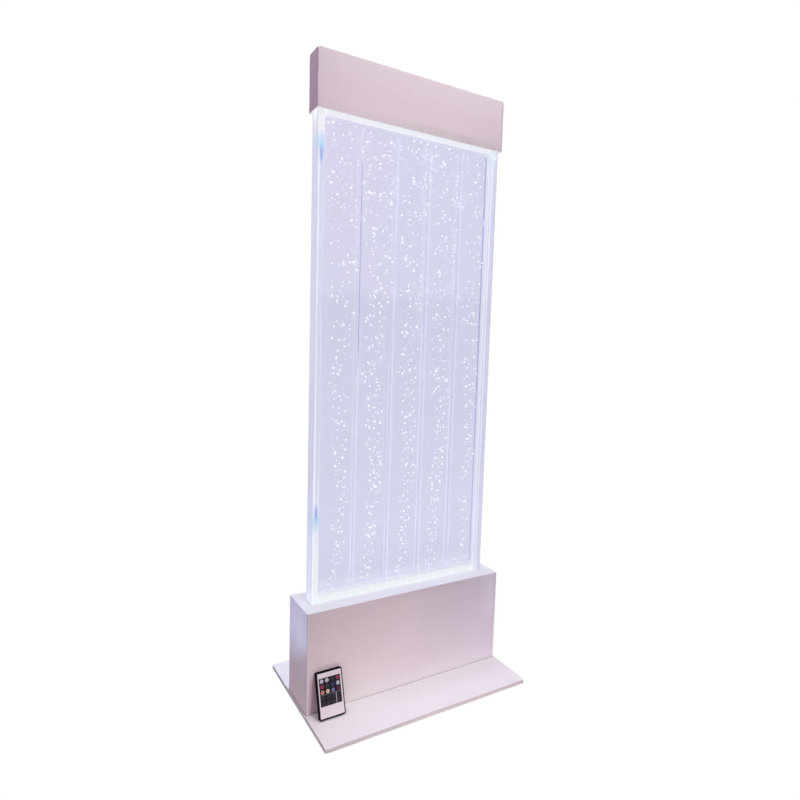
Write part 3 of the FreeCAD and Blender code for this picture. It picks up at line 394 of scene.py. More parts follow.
@dataclass(frozen=True)
class PlinthPaint(SatinPaint):
    """Paint of the plinth's boards, with pale board ends, worn corners and the room's light and shade."""

    half: Pair = (0.2225, 0.047)
    joint: float = 0.2165
    top: float = 0.205
    # Pale board ends; the same tone is also painted light on the front's lower left.
    pale: Colour = (0.90, 0.84, 0.84)
    worn: Colour = (0.40, 0.32, 0.38)
    # Painted light: the bluish lit tone of the boards' upper edges, where the panel's light falls.
    lit_crest: Colour = (0.84, 0.89, 0.91)
    lit: Colour = (0.13, 0.13, 0.10)
    # Painted sheen on the front's right end and slanting across the left flank.
    sheen: Colour = (0.97, 0.93, 0.98)
    # Painted shade on the front and on the top of the left flank.
    dim: Colour = (0.66, 0.60, 0.60)
    bounce: Colour = (0.90, 0.92, 0.90)
    # Painted pink shadow beside the remote.
    pink_light_and_shade: Colour = (0.84, 0.61, 0.62)
    turn_across: Pair = (-0.14, 0.26)
    turn_up: Pair = (0.03, 0.17)
    foot_across: Pair = (0.02, -0.10)
    foot_up: Pair = (0.11, 0.03)
    bounce_up: Pair = (0.05, 0.012)
    remote_across: Band = (-0.2115, 0.003, 0.010)
    remote_up: Pair = (0.085, 0.065)
    sheen_across: Pair = (0.165, 0.212)
    sheen_up: Pair = (0.07, 0.14)
    # Where painted shade lies on the front: a band right of the middle, and a band under its top edge.
    front_shade_across: Band = (0.08, 0.03, 0.06)
    front_shade_up: Pair = (0.03, 0.07)
    top_shade_across: Band = (0.04, 0.08, 0.07)
    top_shade_up: Pair = (0.183, 0.203)
    slant: float = 0.65
    slant_up: Pair = (0.088, 0.116)
    slant_fade: Pair = (0.185, 0.13)
    flank_dim_up: Pair = (0.165, 0.198)

    def drift(self, skin: Skin) -> Value:
        """Turn from the warm tone at the left to the cool one at the upper right.

        Args:
            skin: the material's tree.

        Returns:
            The share of the cool tone.
        """
        across, _, height = skin.axes()
        cloud = skin.noise(4.0).span(0.30, 0.70)
        slope = across.span(*self.turn_across) * (0.55 + 0.45 * height.span(*self.turn_up))
        return (slope * 0.8 + cloud * 0.3).least(1.0)

    def marks(self, skin: Skin, colour: Socket) -> Socket:
        """Lay painted light and shade on the upper edges, front and left flank, then the board ends and
        corners on it.

        Args:
            skin: the material's tree.
            colour: the even tone.

        Returns:
            The marked tone.
        """
        across, along, height = skin.axes()
        wide, deep = self.half
        upper_edge = height.span(self.top - 0.0003, self.top - 0.0001)
        front = along.span(0.002 - deep, 0.001 - deep)
        left_foot = height.span(*self.foot_up) * across.span(*self.foot_across)
        near_plate = height.span(*self.bounce_up)
        # Where the painted shadow beside the remote lies.
        shade_by_remote = across.near(*self.remote_across) * height.span(*self.remote_up)
        right_end = across.span(*self.sheen_across) * height.span(*self.sheen_up)
        front_shade = across.near(*self.front_shade_across) * height.span(*self.front_shade_up) * 0.2
        front_shade = front_shade + across.near(*self.top_shade_across) * height.span(*self.top_shade_up) * 0.3
        flank = across.span(0.0003 - wide, 0.0001 - wide)
        slant = (height + along * self.slant).span(*self.slant_up) * height.span(*self.slant_fade)
        ends = abs(across).span(self.joint - 0.0002, self.joint + 0.0002)
        ends = ends * abs(along).span(deep - 0.0008, deep - 0.0002)
        corner = abs(across).span(wide - 0.0011, wide - 0.0005)
        corner = corner * abs(along).span(deep - 0.0011, deep - 0.0005)
        # Up to the board ends, the layers are painted light and shade: lit upper edges, a lit lower left,
        # bounce from the plate, a shadow beside the remote, sheen and shade.
        return skin.layered(
            colour,
            (self.lit_crest, upper_edge),
            (self.pale, front * left_foot * 0.5),
            (self.bounce, front * near_plate * 0.4),
            (self.pink_light_and_shade, front * shade_by_remote),
            (self.sheen, front * right_end * 0.65),
            (self.dim, front * front_shade),
            (self.sheen, flank * slant * 0.9),
            (self.dim, flank * height.span(*self.flank_dim_up) * 0.6),
            (self.pale, ends * 0.55),
            (self.worn, corner * 0.8),
        )

    def glow(self, skin: Skin) -> Socket | None:
        """Light the rear board's upper edge, which lies in the panel's light.

        Args:
            skin: the material's tree.

        Returns:
            The light.
        """
        _, along, height = skin.axes()
        edge = along.span(self.half[1] - 0.0068, self.half[1] - 0.0062)
        return skin.light(self.lit, edge * height.span(self.top - 0.0003, self.top - 0.0001))


@dataclass(frozen=True)
class DeckPaint(SatinPaint):
    """Paint of the deck, lit in the slot by the lamps under the panel."""

    slot: Pair = (0.205, 0.016)
    top: float = 0.205
    lit: Colour = (0.50, 0.52, 0.60)
    # Painted light of the lit bars on the deck's short ends.
    bar_light_tone: Colour = (0.835, 0.92, 0.92)

    def marks(self, skin: Skin, colour: Socket) -> Socket:
        """Paint the lit bars' light on the short ends as a cooler tone."""
        across, _, _ = skin.axes()
        return skin.mix(colour, self.bar_light_tone, abs(across).span(self.slot[0] - 0.002, self.slot[0] + 0.002))

    def glow(self, skin: Skin) -> Socket | None:
        """Light the slot's sides.

        Args:
            skin: the material's tree.

        Returns:
            The light.
        """
        _, _, height = skin.axes()
        within = skin.past(self.slot).span(0.0005, 0.0)
        return skin.light(self.lit, within * height.span(self.top - 0.0001, self.top - 0.0006))


@dataclass(frozen=True)
class PlatePaint(SatinPaint):
    """Paint of the base plate, with painted shade on its rim, shaded and lit near the plinth, and a line
    round that.
    """

    half: Pair = (0.225, 0.1475)
    plinth: Pair = (0.2225, 0.047)
    top: float = 0.008
    # Painted shade on the rim's faces: at the front and, in its own tone, at the left.
    rim_shade: Colour = (0.55, 0.47, 0.45)
    left_rim_shade: Colour = (0.572, 0.544, 0.499)
    line: Colour = (0.26, 0.18, 0.19)
    shadow: Colour = (0.66, 0.65, 0.64)
    lit: Colour = (0.17, 0.21, 0.26)
    before_along: Pair = (-0.125, -0.055)
    before_end: Pair = (-0.04, -0.046)
    before_across: Pair = (-0.16, 0.0)
    behind_along: Pair = (0.05, 0.08)
    lit_across: Pair = (-0.04, -0.19)

    def marks(self, skin: Skin, colour: Socket) -> Socket:
        """Paint shade on the plate near the plinth and a little on its rim, and draw the line round the
        plinth.

        Args:
            skin: the material's tree.
            colour: the even tone.

        Returns:
            The marked tone.
        """
        across, along, _ = skin.axes()
        before = along.span(*self.before_along) * along.span(*self.before_end)
        before = before * across.span(*self.before_across) * 0.32
        behind = along.span(*self.behind_along) * 0.2
        left = across.span(0.0006 - self.half[0], 0.0001 - self.half[0])
        rim = skin.past(self.half).span(-0.0006, -0.0001)
        foot = skin.past(self.plinth).near(0.0005, 0.0005, 0.0005)
        return skin.layered(
            colour,
            (self.shadow, before + behind),
            (skin.mix(self.rim_shade, self.left_rim_shade, left), rim * 0.8),
            (self.line, foot * 0.75),
        )

    def glow(self, skin: Skin) -> Socket | None:
        """Light the upper face behind the plinth's left end, where the panel's light falls.

        Args:
            skin: the material's tree.

        Returns:
            The light.
        """
        across, along, height = skin.axes()
        place = across.span(*self.lit_across) * along.span(self.plinth[1] + 0.002, self.plinth[1] + 0.012)
        return skin.light(self.lit, place * height.span(self.top - 0.0006, self.top - 0.0001))


@dataclass(frozen=True)
class CapPaint(SatinPaint):
    """Paint of the cap, lit by the light bar on its inside and along its lower edge, with painted light and
    shade on its faces.
    """

    inner: Pair = (0.203, 0.0175)
    low: float = 1.11
    top: float = 1.21
    lit: Colour = (0.44, 0.44, 0.47)
    # Painted shade on the lower edge and painted light on the upper part.
    shade: Colour = (0.62, 0.565, 0.57)
    pale: Colour = (0.86, 0.79, 0.80)
    right_across: Pair = (0.0, 0.2)
    middle_across: Band = (0.07, 0.03, 0.14)
    corner_across: Pair = (0.05, 0.25)

    def marks(self, skin: Skin, colour: Socket) -> Socket:
        """Paint light on the upper part and shade on the lower edge, most towards the right.

        Args:
            skin: the material's tree.
            colour: the even tone.

        Returns:
            The marked tone.
        """
        across, _, height = skin.axes()
        upper = height.span(self.low + 0.04, self.low + 0.09)
        right = 0.2 + 0.2 * across.span(*self.right_across) + 0.6 * across.near(*self.middle_across)
        edge = height.span(self.low + 0.020, self.low + 0.004) * right
        corner = height.span(self.low + 0.06, self.low) * across.span(*self.corner_across) * 0.3
        return skin.layered(colour, (self.pale, upper * 0.35), (self.shade, (edge + corner).least(1.0)))

    def glow(self, skin: Skin) -> Socket | None:
        """Light the inside and the lower edge.

        Args:
            skin: the material's tree.

        Returns:
            The light.
        """
        _, _, height = skin.axes()
        within = skin.past(self.inner).span(0.0006, 0.0002)
        within = within * height.span(self.top - 0.0005, self.top - 0.0010)
        under = height.span(self.low + 0.0005, self.low + 0.0002)
        return skin.light(self.lit, within.most(under))


@dataclass(frozen=True)
class BareWood(Finish):
    """Sawn softwood with grain along its height."""

    pale: Colour = (0.56, 0.39, 0.22)
    dark: Colour = (0.38, 0.24, 0.12)

    def make(self, skin: Skin) -> Material:
        """Stretch noise into grain and pores.

        Args:
            skin: the material's tree.

        Returns:
            The finished material.
        """
        grain = skin.noise(140.0, 4.0, (1.0, 1.0, 0.06))
        pores = skin.noise(900.0, stretch=(1.0, 1.0, 0.03))
        return skin.finish({
            "Base Color": skin.mix(self.pale, self.dark, grain.span(0.35, 0.7)),
            "Roughness": 0.62 + 0.2 * pores,
            "Normal": skin.bump(pores * 0.6 + grain * 0.4, 0.0003),
        })


@dataclass(frozen=True)
class Moulding(Finish):
    """Moulded plastic or rubber with a fine spark texture."""

    colour: Colour
    roughness: float
    texture: float = 0.00003
    alpha: float = 1.0
    glow: float = 0.0
    gloss: float = 0.5

    def make(self, skin: Skin) -> Material:
        """Speckle the tone and roughen the skin.

        Args:
            skin: the material's tree.

        Returns:
            The finished material.
        """
        speckle = skin.noise(1400.0)
        wash = skin.noise(40.0)
        light = tuple(min(1.0, part * 1.3 + 0.003) for part in self.colour)
        return skin.finish({
            "Base Color": skin.mix(self.colour, light, wash.span(0.35, 0.7) * 0.6 + speckle * 0.3),
            "Roughness": self.roughness + 0.16 * (speckle - 0.5),
            "Specular IOR Level": self.gloss,
            "Alpha": self.alpha,
            "Emission Color": self.colour,
            "Emission Strength": self.glow,
            "Normal": skin.bump(speckle, self.texture),
        })


@dataclass(frozen=True)
class BrushedMetal(Finish):
    """Metal with fine drawing marks along its length, or even ones."""

    colour: Colour
    roughness: float
    lay: Point = (0.02, 1.0, 1.0)

    def make(self, skin: Skin) -> Material:
        """Stretch noise into drawing marks.

        Args:
            skin: the material's tree.

        Returns:
            The finished material.
        """
        marks = skin.noise(1800.0, 3.0, self.lay)
        stain = skin.noise(30.0, 3.0)
        dull = tuple(part * 0.8 for part in self.colour)
        return skin.finish({
            "Base Color": skin.mix(self.colour, dull, marks * 0.5 + stain.span(0.5, 0.8) * 0.4),
            "Metallic": 1.0,
            "Roughness": self.roughness + 0.2 * (marks - 0.5) + 0.1 * stain,
            "Normal": skin.bump(marks, 0.00001),
        })


SOFT_RUBBER = Moulding("soft_rubber", (0.03, 0.03, 0.034), 0.8, 0.00006)
BLACK_SHELL = Moulding("black_shell", (0.003, 0.003, 0.004), 0.5, 0.00004, gloss=0.02)
ZINC_STEEL = BrushedMetal("zinc_steel", (0.62, 0.63, 0.66), 0.3, EVEN)
ANODISED_ALUMINIUM = BrushedMetal("anodised_aluminium", (0.80, 0.81, 0.83), 0.36)


@dataclass(frozen=True)
class ClearSheet(Finish):
    """Clear acrylic sheet with lit water behind it and bright cut edges."""

    half: float
    top: float
    pitch: float
    # Colours of the painted glow: dimmer low down, pink in the upper left corner and in patches.
    upper: Colour = (0.148, 0.172, 0.300)
    lower: Colour = (0.295, 0.315, 0.465)
    low_glow: Colour = (0.22, 0.24, 0.38)
    pink_light_and_shade: Colour = (0.215, 0.170, 0.310)
    shine: Colour = (0.75, 0.79, 0.82)
    body: Colour = (0.28, 0.29, 0.46)
    rim: Colour = (0.53, 0.54, 0.66)
    rim_body: Colour = (0.16, 0.16, 0.21)
    strip: Colour = (0.59, 0.60, 0.58)
    cover: float = 0.20
    rim_cover: float = 0.68
    fade_up: Pair = (1.05, 0.22)
    low_glow_up: Pair = (0.34, 0.25)
    blush_up: Pair = (0.72, 1.0)
    blush_across: Pair = (0.0, -0.16)
    strip_up: Pair = (0.240, 0.224)
    foot_up: Pair = (0.2245, 0.2220)
    divider_reach: Pair = (0.026, 0.004)

    def make(self, skin: Skin) -> Material:
        """Paint a soft glow on it, with painted upright reflections near the dividers and a lit strip at the
        back's foot.

        Args:
            skin: the material's tree.

        Returns:
            The finished material.
        """
        across, along, height = skin.axes()
        patches = skin.noise(4.5).span(0.40, 0.68)
        streaks = skin.noise(320.0, stretch=(1.0, 1.0, 0.008)).span(0.50, 0.72)
        beside = abs(across % self.pitch - self.pitch / 2).span(*self.divider_reach)
        corner = height.span(*self.blush_up) * across.span(*self.blush_across)
        back = along.span(-0.001, 0.001)
        foot = back * height.span(*self.foot_up)
        rim = abs(across).span(self.half - 0.0004, self.half - 0.0002)
        rim = rim.most(height.span(self.top - 0.0004, self.top - 0.0002))
        lit = skin.layered(
            self.upper,
            (self.lower, height.span(*self.fade_up)),
            (self.low_glow, height.span(*self.low_glow_up) * 0.7),
            (self.pink_light_and_shade, (corner * 0.7 + patches * 0.25).least(1.0)),
            (self.shine, streaks * (0.05 + 0.22 * beside)),
            (self.strip, back * height.span(*self.strip_up) * 0.7 + foot * 0.3),
            (self.rim, rim),
        )
        return skin.finish({
            "Base Color": skin.mix(self.body, self.rim_body, rim),
            "Roughness": 0.06 + 0.06 * streaks,
            "Alpha": self.cover + 0.01 * streaks + rim.most(foot * 0.7) * self.rim_cover,
            "Emission Color": lit,
            "Emission Strength": 1.0,
            "Normal": skin.bump(streaks, 0.00001),
        })


@dataclass(frozen=True)
class LitBar(Finish):
    """Clear bar that carries light along the panel's edge, with painted bright lines at its joints, dark
    joints and painted blue sparks.
    """

    inner: float
    outer: float
    low: float
    high: float
    # Colours of the painted glow, glare and sparks; the joint colour is the dark joints'.
    white: Colour = (0.82, 0.86, 0.87)
    faint: Colour = (0.60, 0.63, 0.71)
    dull: Colour = (0.58, 0.57, 0.66)
    flank: Colour = (0.53, 0.53, 0.68)
    body: Colour = (0.16, 0.16, 0.21)
    joint: Colour = (0.16, 0.18, 0.40)
    hot: Colour = (0.97, 1.0, 0.98)
    head: Colour = (0.82, 0.86, 0.76)
    right_head: Colour = (0.60, 0.83, 0.62)
    foot: Colour = (0.87, 0.92, 0.81)
    spark: Colour = (0.10, 0.25, 0.62)
    halo: Colour = (0.20, 0.64, 0.76)
    foot_light: Pair = (0.27, 0.08)
    head_light: Pair = (0.11, 0.05)
    crown_fall: Pair = (0.052, 0.046)
    head_fall: Pair = (0.080, 0.062)
    foot_rise: Pair = (0.13, 0.09)
    hot_rise: Pair = (0.36, 0.20)
    bright_up: Pair = (0.86, 0.72)
    seam_up: Pair = (0.45, 0.70)
    joint_line: Band = (0.0046, 0.0010, 0.0012)
    glue_line: Band = (0.0136, 0.0006, 0.0009)
    corner_line: Band = (0.0006, 0.0006, 0.0008)
    pillar: Band = (0.0046, 0.0014, 0.0012)
    inner_pillar: Band = (-0.0030, 0.0058, 0.0016)
    inner_glare: Band = (-0.0056, 0.0020, 0.0012)
    inner_seam: Band = (0.0070, 0.0011, 0.0007)
    right_line: Band = (0.0014, 0.0004, 0.0005)
    left_line: Band = (0.0005, 0.0003, 0.0005)
    spark_line: Band = (0.0090, 0.0016, 0.0036)
    spark_fall: float = 0.106
    spark_rise: float = 0.175

    def make(self, skin: Skin) -> Material:
        """Fade the light with height, then draw the joints and two blue sparks on it.

        Args:
            skin: the material's tree.

        Returns:
            The finished material.
        """
        across, along, height = skin.axes()
        left = across.span(0.01, -0.01)
        right = 1.0 - left
        from_inner = abs(across) - self.inner
        from_outer = self.outer - abs(across)
        above, below = height - self.low, self.high - height
        inside = from_inner.span(0.0008, 0.0002)
        side = from_outer.span(0.0008, 0.0002)
        front = left * (1.0 - side)
        ends = above.span(*self.foot_light) + below.span(*self.head_light)
        crown = below.span(*self.crown_fall)
        head = below.span(*self.head_fall)
        foot = above.span(*self.foot_rise)
        hot = left * above.span(*self.hot_rise)
        ripple = skin.noise(700.0, stretch=(1.0, 1.0, 0.01)).span(0.50, 0.70)
        lines = from_outer.near(*self.joint_line) + from_outer.near(*self.glue_line) * 0.35
        corner = from_outer.near(*self.corner_line)
        pillars = from_inner.near(*self.pillar) * (1.0 - inside) + inside * along.near(*self.inner_pillar)
        shine = left * (ends * (1.0 - side * 0.5) + lines) + right * (pillars + ends * 0.15)
        shine = shine + front * height.span(*self.bright_up) * 0.2 + ripple * 0.25 + crown
        lit = skin.layered(
            self.faint,
            (self.dull, right),
            (self.white, shine.least(1.0)),
            (self.head, head * front),
            (self.right_head, head * right * (1.0 - inside) * 0.25),
            (self.foot, foot * left),
            (self.flank, side * left * (1.0 - crown) * (0.6 - 0.35 * ends)),
            (self.hot, hot * lines.least(1.0) * 0.8),
            (self.flank, hot * corner * 0.8),
            (self.hot, right * inside * along.near(*self.inner_glare) * 0.85),
        )
        lit = self.sparks(skin, lit, from_outer, height, front, side * left)
        fine = from_inner.near(*self.right_line) * right
        fine = fine + from_inner.near(*self.left_line) * left * (1.0 - ends)
        fine = fine * (1.0 - inside) * (1.0 - crown) * 0.2
        seam = inside * along.near(*self.inner_seam) * (0.55 + 0.45 * height.span(*self.seam_up))
        seam = (seam + fine).least(1.0)
        return skin.finish({
            "Base Color": skin.mix(self.body, self.joint, seam),
            "Roughness": 0.08 + 0.1 * ripple,
            "Alpha": 0.88,
            "Emission Color": skin.mix(lit, self.joint, seam),
            "Emission Strength": 0.98,
            "Normal": skin.bump(ripple, 0.00001),
        })

    def sparks(self, skin: Skin, lit: Socket, from_outer: Value, height: Value, front: Value,
               side: Value) -> Socket:
        """Put a blue spark near each end of the left bar, cyan on its side towards that end.

        Args:
            skin: the material's tree.
            lit: the bar's own light.
            from_outer: depth below the bar's outer face.
            height: height above the floor.
            front: 1 on the left bar, apart from its outer face.
            side: 1 on the left bar's outer face.

        Returns:
            The light with the sparks in it.
        """
        broken = skin.noise(900.0, stretch=(1.0, 1.0, 0.35)).span(0.38, 0.60)
        place = from_outer.near(*self.spark_line) * (front + side) * (0.5 + 0.5 * broken)
        for level, way in ((self.high - self.spark_fall, 1.0), (self.low + self.spark_rise, -1.0)):
            away = (height - level) * way
            wide = away.span(-0.002, 0.014) * away.span(0.044, 0.020)
            core = away.span(-0.024, -0.004) * away.span(0.026, 0.012)
            lit = skin.layered(
                lit,
                (self.halo, wide * (front * 0.34 + side * 0.16)),
                (self.joint, wide * front * 0.10),
                (skin.mix(self.spark, self.halo, away.span(0.002, 0.014)), core * place),
            )
        return lit


@dataclass(frozen=True)
class LitFloor(Finish):
    """Clear bar under the water, lit from below through its whole length."""

    top: float
    white: Colour = (0.80, 0.85, 0.72)
    faint: Colour = (0.45, 0.47, 0.44)
    upper: Colour = (0.59, 0.62, 0.59)

    def make(self, skin: Skin) -> Material:
        """Shine most on the front face, less on the upper one, with a hint of the lamps below.

        Args:
            skin: the material's tree.

        Returns:
            The finished material.
        """
        _, _, height = skin.axes()
        lamps = skin.lamps()
        upper = height.span(self.top - 0.0006, self.top - 0.0001)
        return skin.finish({
            "Base Color": self.faint,
            "Roughness": 0.1 + 0.1 * lamps,
            "Alpha": 0.9,
            "Emission Color": skin.layered(self.white, (self.faint, lamps * 0.1), (self.upper, upper)),
            "Emission Strength": 0.8,
            "Normal": skin.bump(skin.noise(700.0), 0.00001),
        })


@dataclass(frozen=True)
class Divider(Finish):
    """Clear strip between two channels, whose four long edges catch the light."""

    depth: float
    half: float
    pitch: float
    seam_low: float = 0.62
    seam_high: float = 1.05
    edge: Colour = (0.90, 0.93, 1.0)
    side: Colour = (0.30, 0.32, 0.50)
    seam: Colour = (0.15, 0.16, 0.34)

    def make(self, skin: Skin) -> Material:
        """Draw a fine bright line along each edge, fainter upwards, and darken one glue line.

        Args:
            skin: the material's tree.

        Returns:
            The finished material.
        """
        across, along, height = skin.axes()
        local = across % self.pitch - self.pitch / 2
        faces = abs(along).span(self.depth - 0.0009, self.depth - 0.0002)
        ripple = skin.noise(60.0, stretch=(1.0, 1.0, 0.12)).span(0.35, 0.65)
        right = local.span(self.half - 0.0004, self.half - 0.0001)
        left = local.span(0.0004 - self.half, 0.0001 - self.half)
        fore = along.span(0.0036 - self.depth, 0.0026 - self.depth)
        aft = along.span(self.depth - 0.0036, self.depth - 0.0026)
        edges = (right + left * 0.25) * (fore * 0.9 + aft)
        line = faces * along.span(0.0, -0.001) * local.near(self.half - 0.0008, 0.0008, 0.0004)
        line = line * across.span(-self.pitch, -self.pitch - 0.01)
        line = line * height.span(self.seam_low, self.seam_low + 0.10)
        line = line * height.span(self.seam_high, self.seam_high - 0.03)
        fade = 0.72 + 0.22 * height.span(0.9, 0.5)
        cover = 0.03 + edges * (0.40 + 0.35 * ripple) * fade + line * 0.9
        return skin.finish({
            "Base Color": self.side,
            "Roughness": 0.1 + 0.1 * ripple,
            "Alpha": cover.least(0.9),
            "Emission Color": skin.layered(self.side, (self.edge, edges), (self.seam, line)),
            "Emission Strength": 1.0,
            "Normal": skin.bump(ripple, 0.00002),
        })


@dataclass(frozen=True)
class MilkyLight(Finish):
    """Milky plastic with lamps behind it."""

    foot: float
    white: Colour = (0.95, 0.98, 0.86)
    shade: Colour = (0.90, 0.93, 0.82)
    under: Colour = (0.73, 0.74, 0.785)
    body: Colour = (0.34, 0.35, 0.37)

    def make(self, skin: Skin) -> Material:
        """Shine evenly, with faint pools at the lamps, and less below.

        Args:
            skin: the material's tree.

        Returns:
            The finished material.
        """
        _, _, height = skin.axes()
        cloud = skin.noise(180.0)
        below = height.span(self.foot + 0.0004, self.foot + 0.0001)
        return skin.finish({
            "Base Color": skin.mix(self.body, self.shade, cloud * 0.1),
            "Roughness": 0.4 + 0.15 * cloud,
            "Emission Color": skin.layered(self.white, (self.shade, skin.lamps() * 0.5), (self.under, below)),
            "Emission Strength": 0.94,
            "Normal": skin.bump(cloud, 0.00002),
        })


@dataclass(frozen=True)
class LampTape(Finish):
    """White lamp tape: yellow phosphor on each lamp and copper pads between them."""

    half: float
    lamps: int = 22
    margin: float = 0.01175
    lamp: float = 0.0035
    tape: Colour = (0.86, 0.86, 0.82)
    phosphor: Colour = (0.95, 0.80, 0.32)
    copper: Colour = (0.72, 0.42, 0.20)

    def make(self, skin: Skin) -> Material:
        """Repeat the lamp and its pads along the tape.

        Args:
            skin: the material's tree.

        Returns:
            The finished material.
        """
        across, _, _ = skin.axes()
        pitch = 2.0 * (self.half - self.margin) / (self.lamps - 1)
        step = (across + (self.half - self.margin + pitch / 2)) % pitch - pitch / 2
        lamps = abs(step).span(self.lamp * 0.36, self.lamp * 0.30)
        pads = abs(step).near(pitch / 2, 0.0010, 0.0002) * skin.noise(500.0).span(0.3, 0.5)
        weave = skin.noise(900.0)
        return skin.finish({
            "Base Color": skin.layered(self.tape, (self.copper, pads), (self.phosphor, lamps)),
            "Roughness": 0.4 + 0.2 * weave,
            "Emission Color": skin.light(WHITE, lamps),
            "Emission Strength": 4.0,
            "Normal": skin.bump(weave, 0.00002),
        })


@dataclass(frozen=True)
class RemoteFrame:
    """The remote's own axes: across its face, up along it, and out of its front."""

    origin: Point = (-0.18075, -0.07134, 0.0082)
    lean: float = math.radians(16.7)
    column_pitch: float = 0.0107
    row_pitch: float = 0.0097
    lowest_row: float = 0.02835

    def axes(self, skin: Skin) -> tuple[Value, Value, Value]:
        """Give the place on the remote in its own axes."""
        return skin.axes(skin.framed(self.origin, (math.pi / 2 - self.lean, 0.0, 0.0)))

    def from_key(self, skin: Skin) -> Value:
        """Give the distance from the middle of the nearest key.

        Args:
            skin: the tree of a finish on the remote.

        Returns:
            The distance along the face.
        """
        across, along, _ = self.axes(skin)
        sideways = across % self.column_pitch - self.column_pitch / 2
        upward = (along - self.lowest_row + self.row_pitch / 2) % self.row_pitch - self.row_pitch / 2
        return (sideways * sideways + upward * upward) ** 0.5


@dataclass(frozen=True)
class KeyCap(Finish):
    """Soft key with a printed ring and centre."""

    colour: Colour
    ring: Colour
    centre: Colour
    frame: RemoteFrame = RemoteFrame()

    def make(self, skin: Skin) -> Material:
        """Print the ring about the key's own middle.

        Args:
            skin: the material's tree.

        Returns:
            The finished material.
        """
        away = self.frame.from_key(skin)
        grain = skin.noise(1600.0)
        rubbed = tuple(part * 0.8 for part in self.colour)
        printed = skin.layered(
            self.colour,
            (self.ring, away.near(0.0021, 0.0003, 0.00025)),
            (self.centre, away.span(0.0013, 0.0010)),
            (rubbed, grain.span(0.5, 0.9) * 0.3),
        )
        return skin.finish({
            "Base Color": printed,
            "Roughness": 0.42 + 0.16 * grain,
            "Specular IOR Level": 0.3,
            "Normal": skin.bump(grain, 0.00002),
        })


@dataclass(frozen=True)
class FaceCard(Finish):
    """White face with a dark key field and a dark border printed on it."""

    frame: RemoteFrame = RemoteFrame()
    field_half: float = 0.0213
    field_low: float = 0.0229
    field_high: float = 0.0722
    border: tuple[float, float, float] = (0.0239, 0.0026, 0.0812)
    border_shift: float = 0.0003
    rule_across: float = 0.0107
    rule_top: float = 0.0428
    soft: float = 0.0002
    white: Colour = (0.83, 0.76, 0.77)
    grey: Colour = (0.74, 0.70, 0.74)
    black: Colour = (0.020, 0.017, 0.024)

    def make(self, skin: Skin) -> Material:
        """Print the field with its two fine rules, and the border.

        Args:
            skin: the material's tree.

        Returns:
            The finished material.
        """
        across, along, _ = self.frame.axes(skin)
        grain = skin.noise(1500.0)
        inked = abs(across).span(self.field_half + self.soft, self.field_half)
        inked = inked * along.span(self.field_low - self.soft, self.field_low)
        inked = inked * along.span(self.field_high + self.soft, self.field_high)
        upright = across.near(self.rule_across, 0.0004, self.soft)
        upright = upright * along.span(self.rule_top, self.rule_top - self.soft)
        level = along.near(self.rule_top, 0.0002, self.soft)
        ink = inked * (1.0 - (upright * 0.8).most(level * 0.45))
        beside, below, above = self.border
        slack = self.soft / 2
        rim = abs(across - self.border_shift).span(beside - slack, beside + slack)
        rim = rim.most(along.span(below + slack, below - slack))
        ink = ink.most(rim).most(along.span(above - slack, above + slack))
        return skin.finish({
            "Base Color": skin.layered(self.white, (self.grey, grain * 0.3), (self.black, ink)),
            "Roughness": 0.34 - 0.08 * ink + 0.12 * grain,
            "Specular IOR Level": 0.25,
            "Normal": skin.bump(grain, 0.00001),
        })


@dataclass(frozen=True)
class CircuitBoard(Finish):
    """Green board with copper lines under its lacquer, and the smoky lens of its emitter."""

    frame: RemoteFrame = RemoteFrame()
    comb: float = 0.0008
    lens_low: float = 0.0809
    green: Colour = (0.02, 0.16, 0.06)
    line: Colour = (0.08, 0.32, 0.12)
    gold: Colour = (0.70, 0.50, 0.20)
    smoky: Colour = (0.016, 0.010, 0.020)

    def make(self, skin: Skin) -> Material:
        """Draw lines between the keys, a contact under each, and the lens at the upper end.

        Args:
            skin: the material's tree.

        Returns:
            The finished material.
        """
        across, along, _ = self.frame.axes(skin)
        away = self.frame.from_key(skin)
        pitch = self.frame.column_pitch / 4
        tracks = abs(across % pitch - pitch / 2).span(0.0004, 0.0003) * skin.noise(120.0).span(0.45, 0.5)
        teeth = abs(along % self.comb - self.comb / 2).span(0.0001, 0.0002)
        contacts = away.near(0.0016, 0.0005, 0.0001) * teeth
        lens = along.span(self.lens_low, self.lens_low + 0.0001)
        colour = skin.layered(self.green, (self.line, tracks), (self.gold, contacts), (self.smoky, lens))
        return skin.finish({
            "Base Color": colour,
            "Roughness": 0.3 + 0.2 * tracks - 0.18 * lens,
            "Metallic": contacts * 0.9,
            "Normal": skin.bump(tracks.most(contacts), 0.00003),
        })


@dataclass(frozen=True)
class BubbleSkin(Finish):
    """Air in lit water: a ball that is bright in its middle and like the water at its rim."""

    bright: Colour = (0.95, 0.98, 0.93)
    rim: Colour = (0.50, 0.50, 0.60)
    body: Colour = (0.05, 0.05, 0.06)

    def make(self, skin: Skin) -> Material:
        """Let the brightness differ from one bubble to the next.

        Args:
            skin: the material's tree.

        Returns:
            The finished material.
        """
        lot = skin.value("ShaderNodeAttribute", {"attribute_name": LOT}, None, 2)
        turned = skin.value("ShaderNodeLayerWeight", None, {"Blend": 0.5}, 1)
        core = turned.span(0.95, 0.25) * (0.40 + 0.60 * lot)
        return skin.finish({
            "Base Color": self.body,
            "Roughness": 0.12 + 0.1 * lot,
            "Emission Color": skin.mix(self.rim, self.bright, core),
            "Emission Strength": 1.42,
            "Normal": skin.bump(skin.noise(400.0), 0.00005),
        })


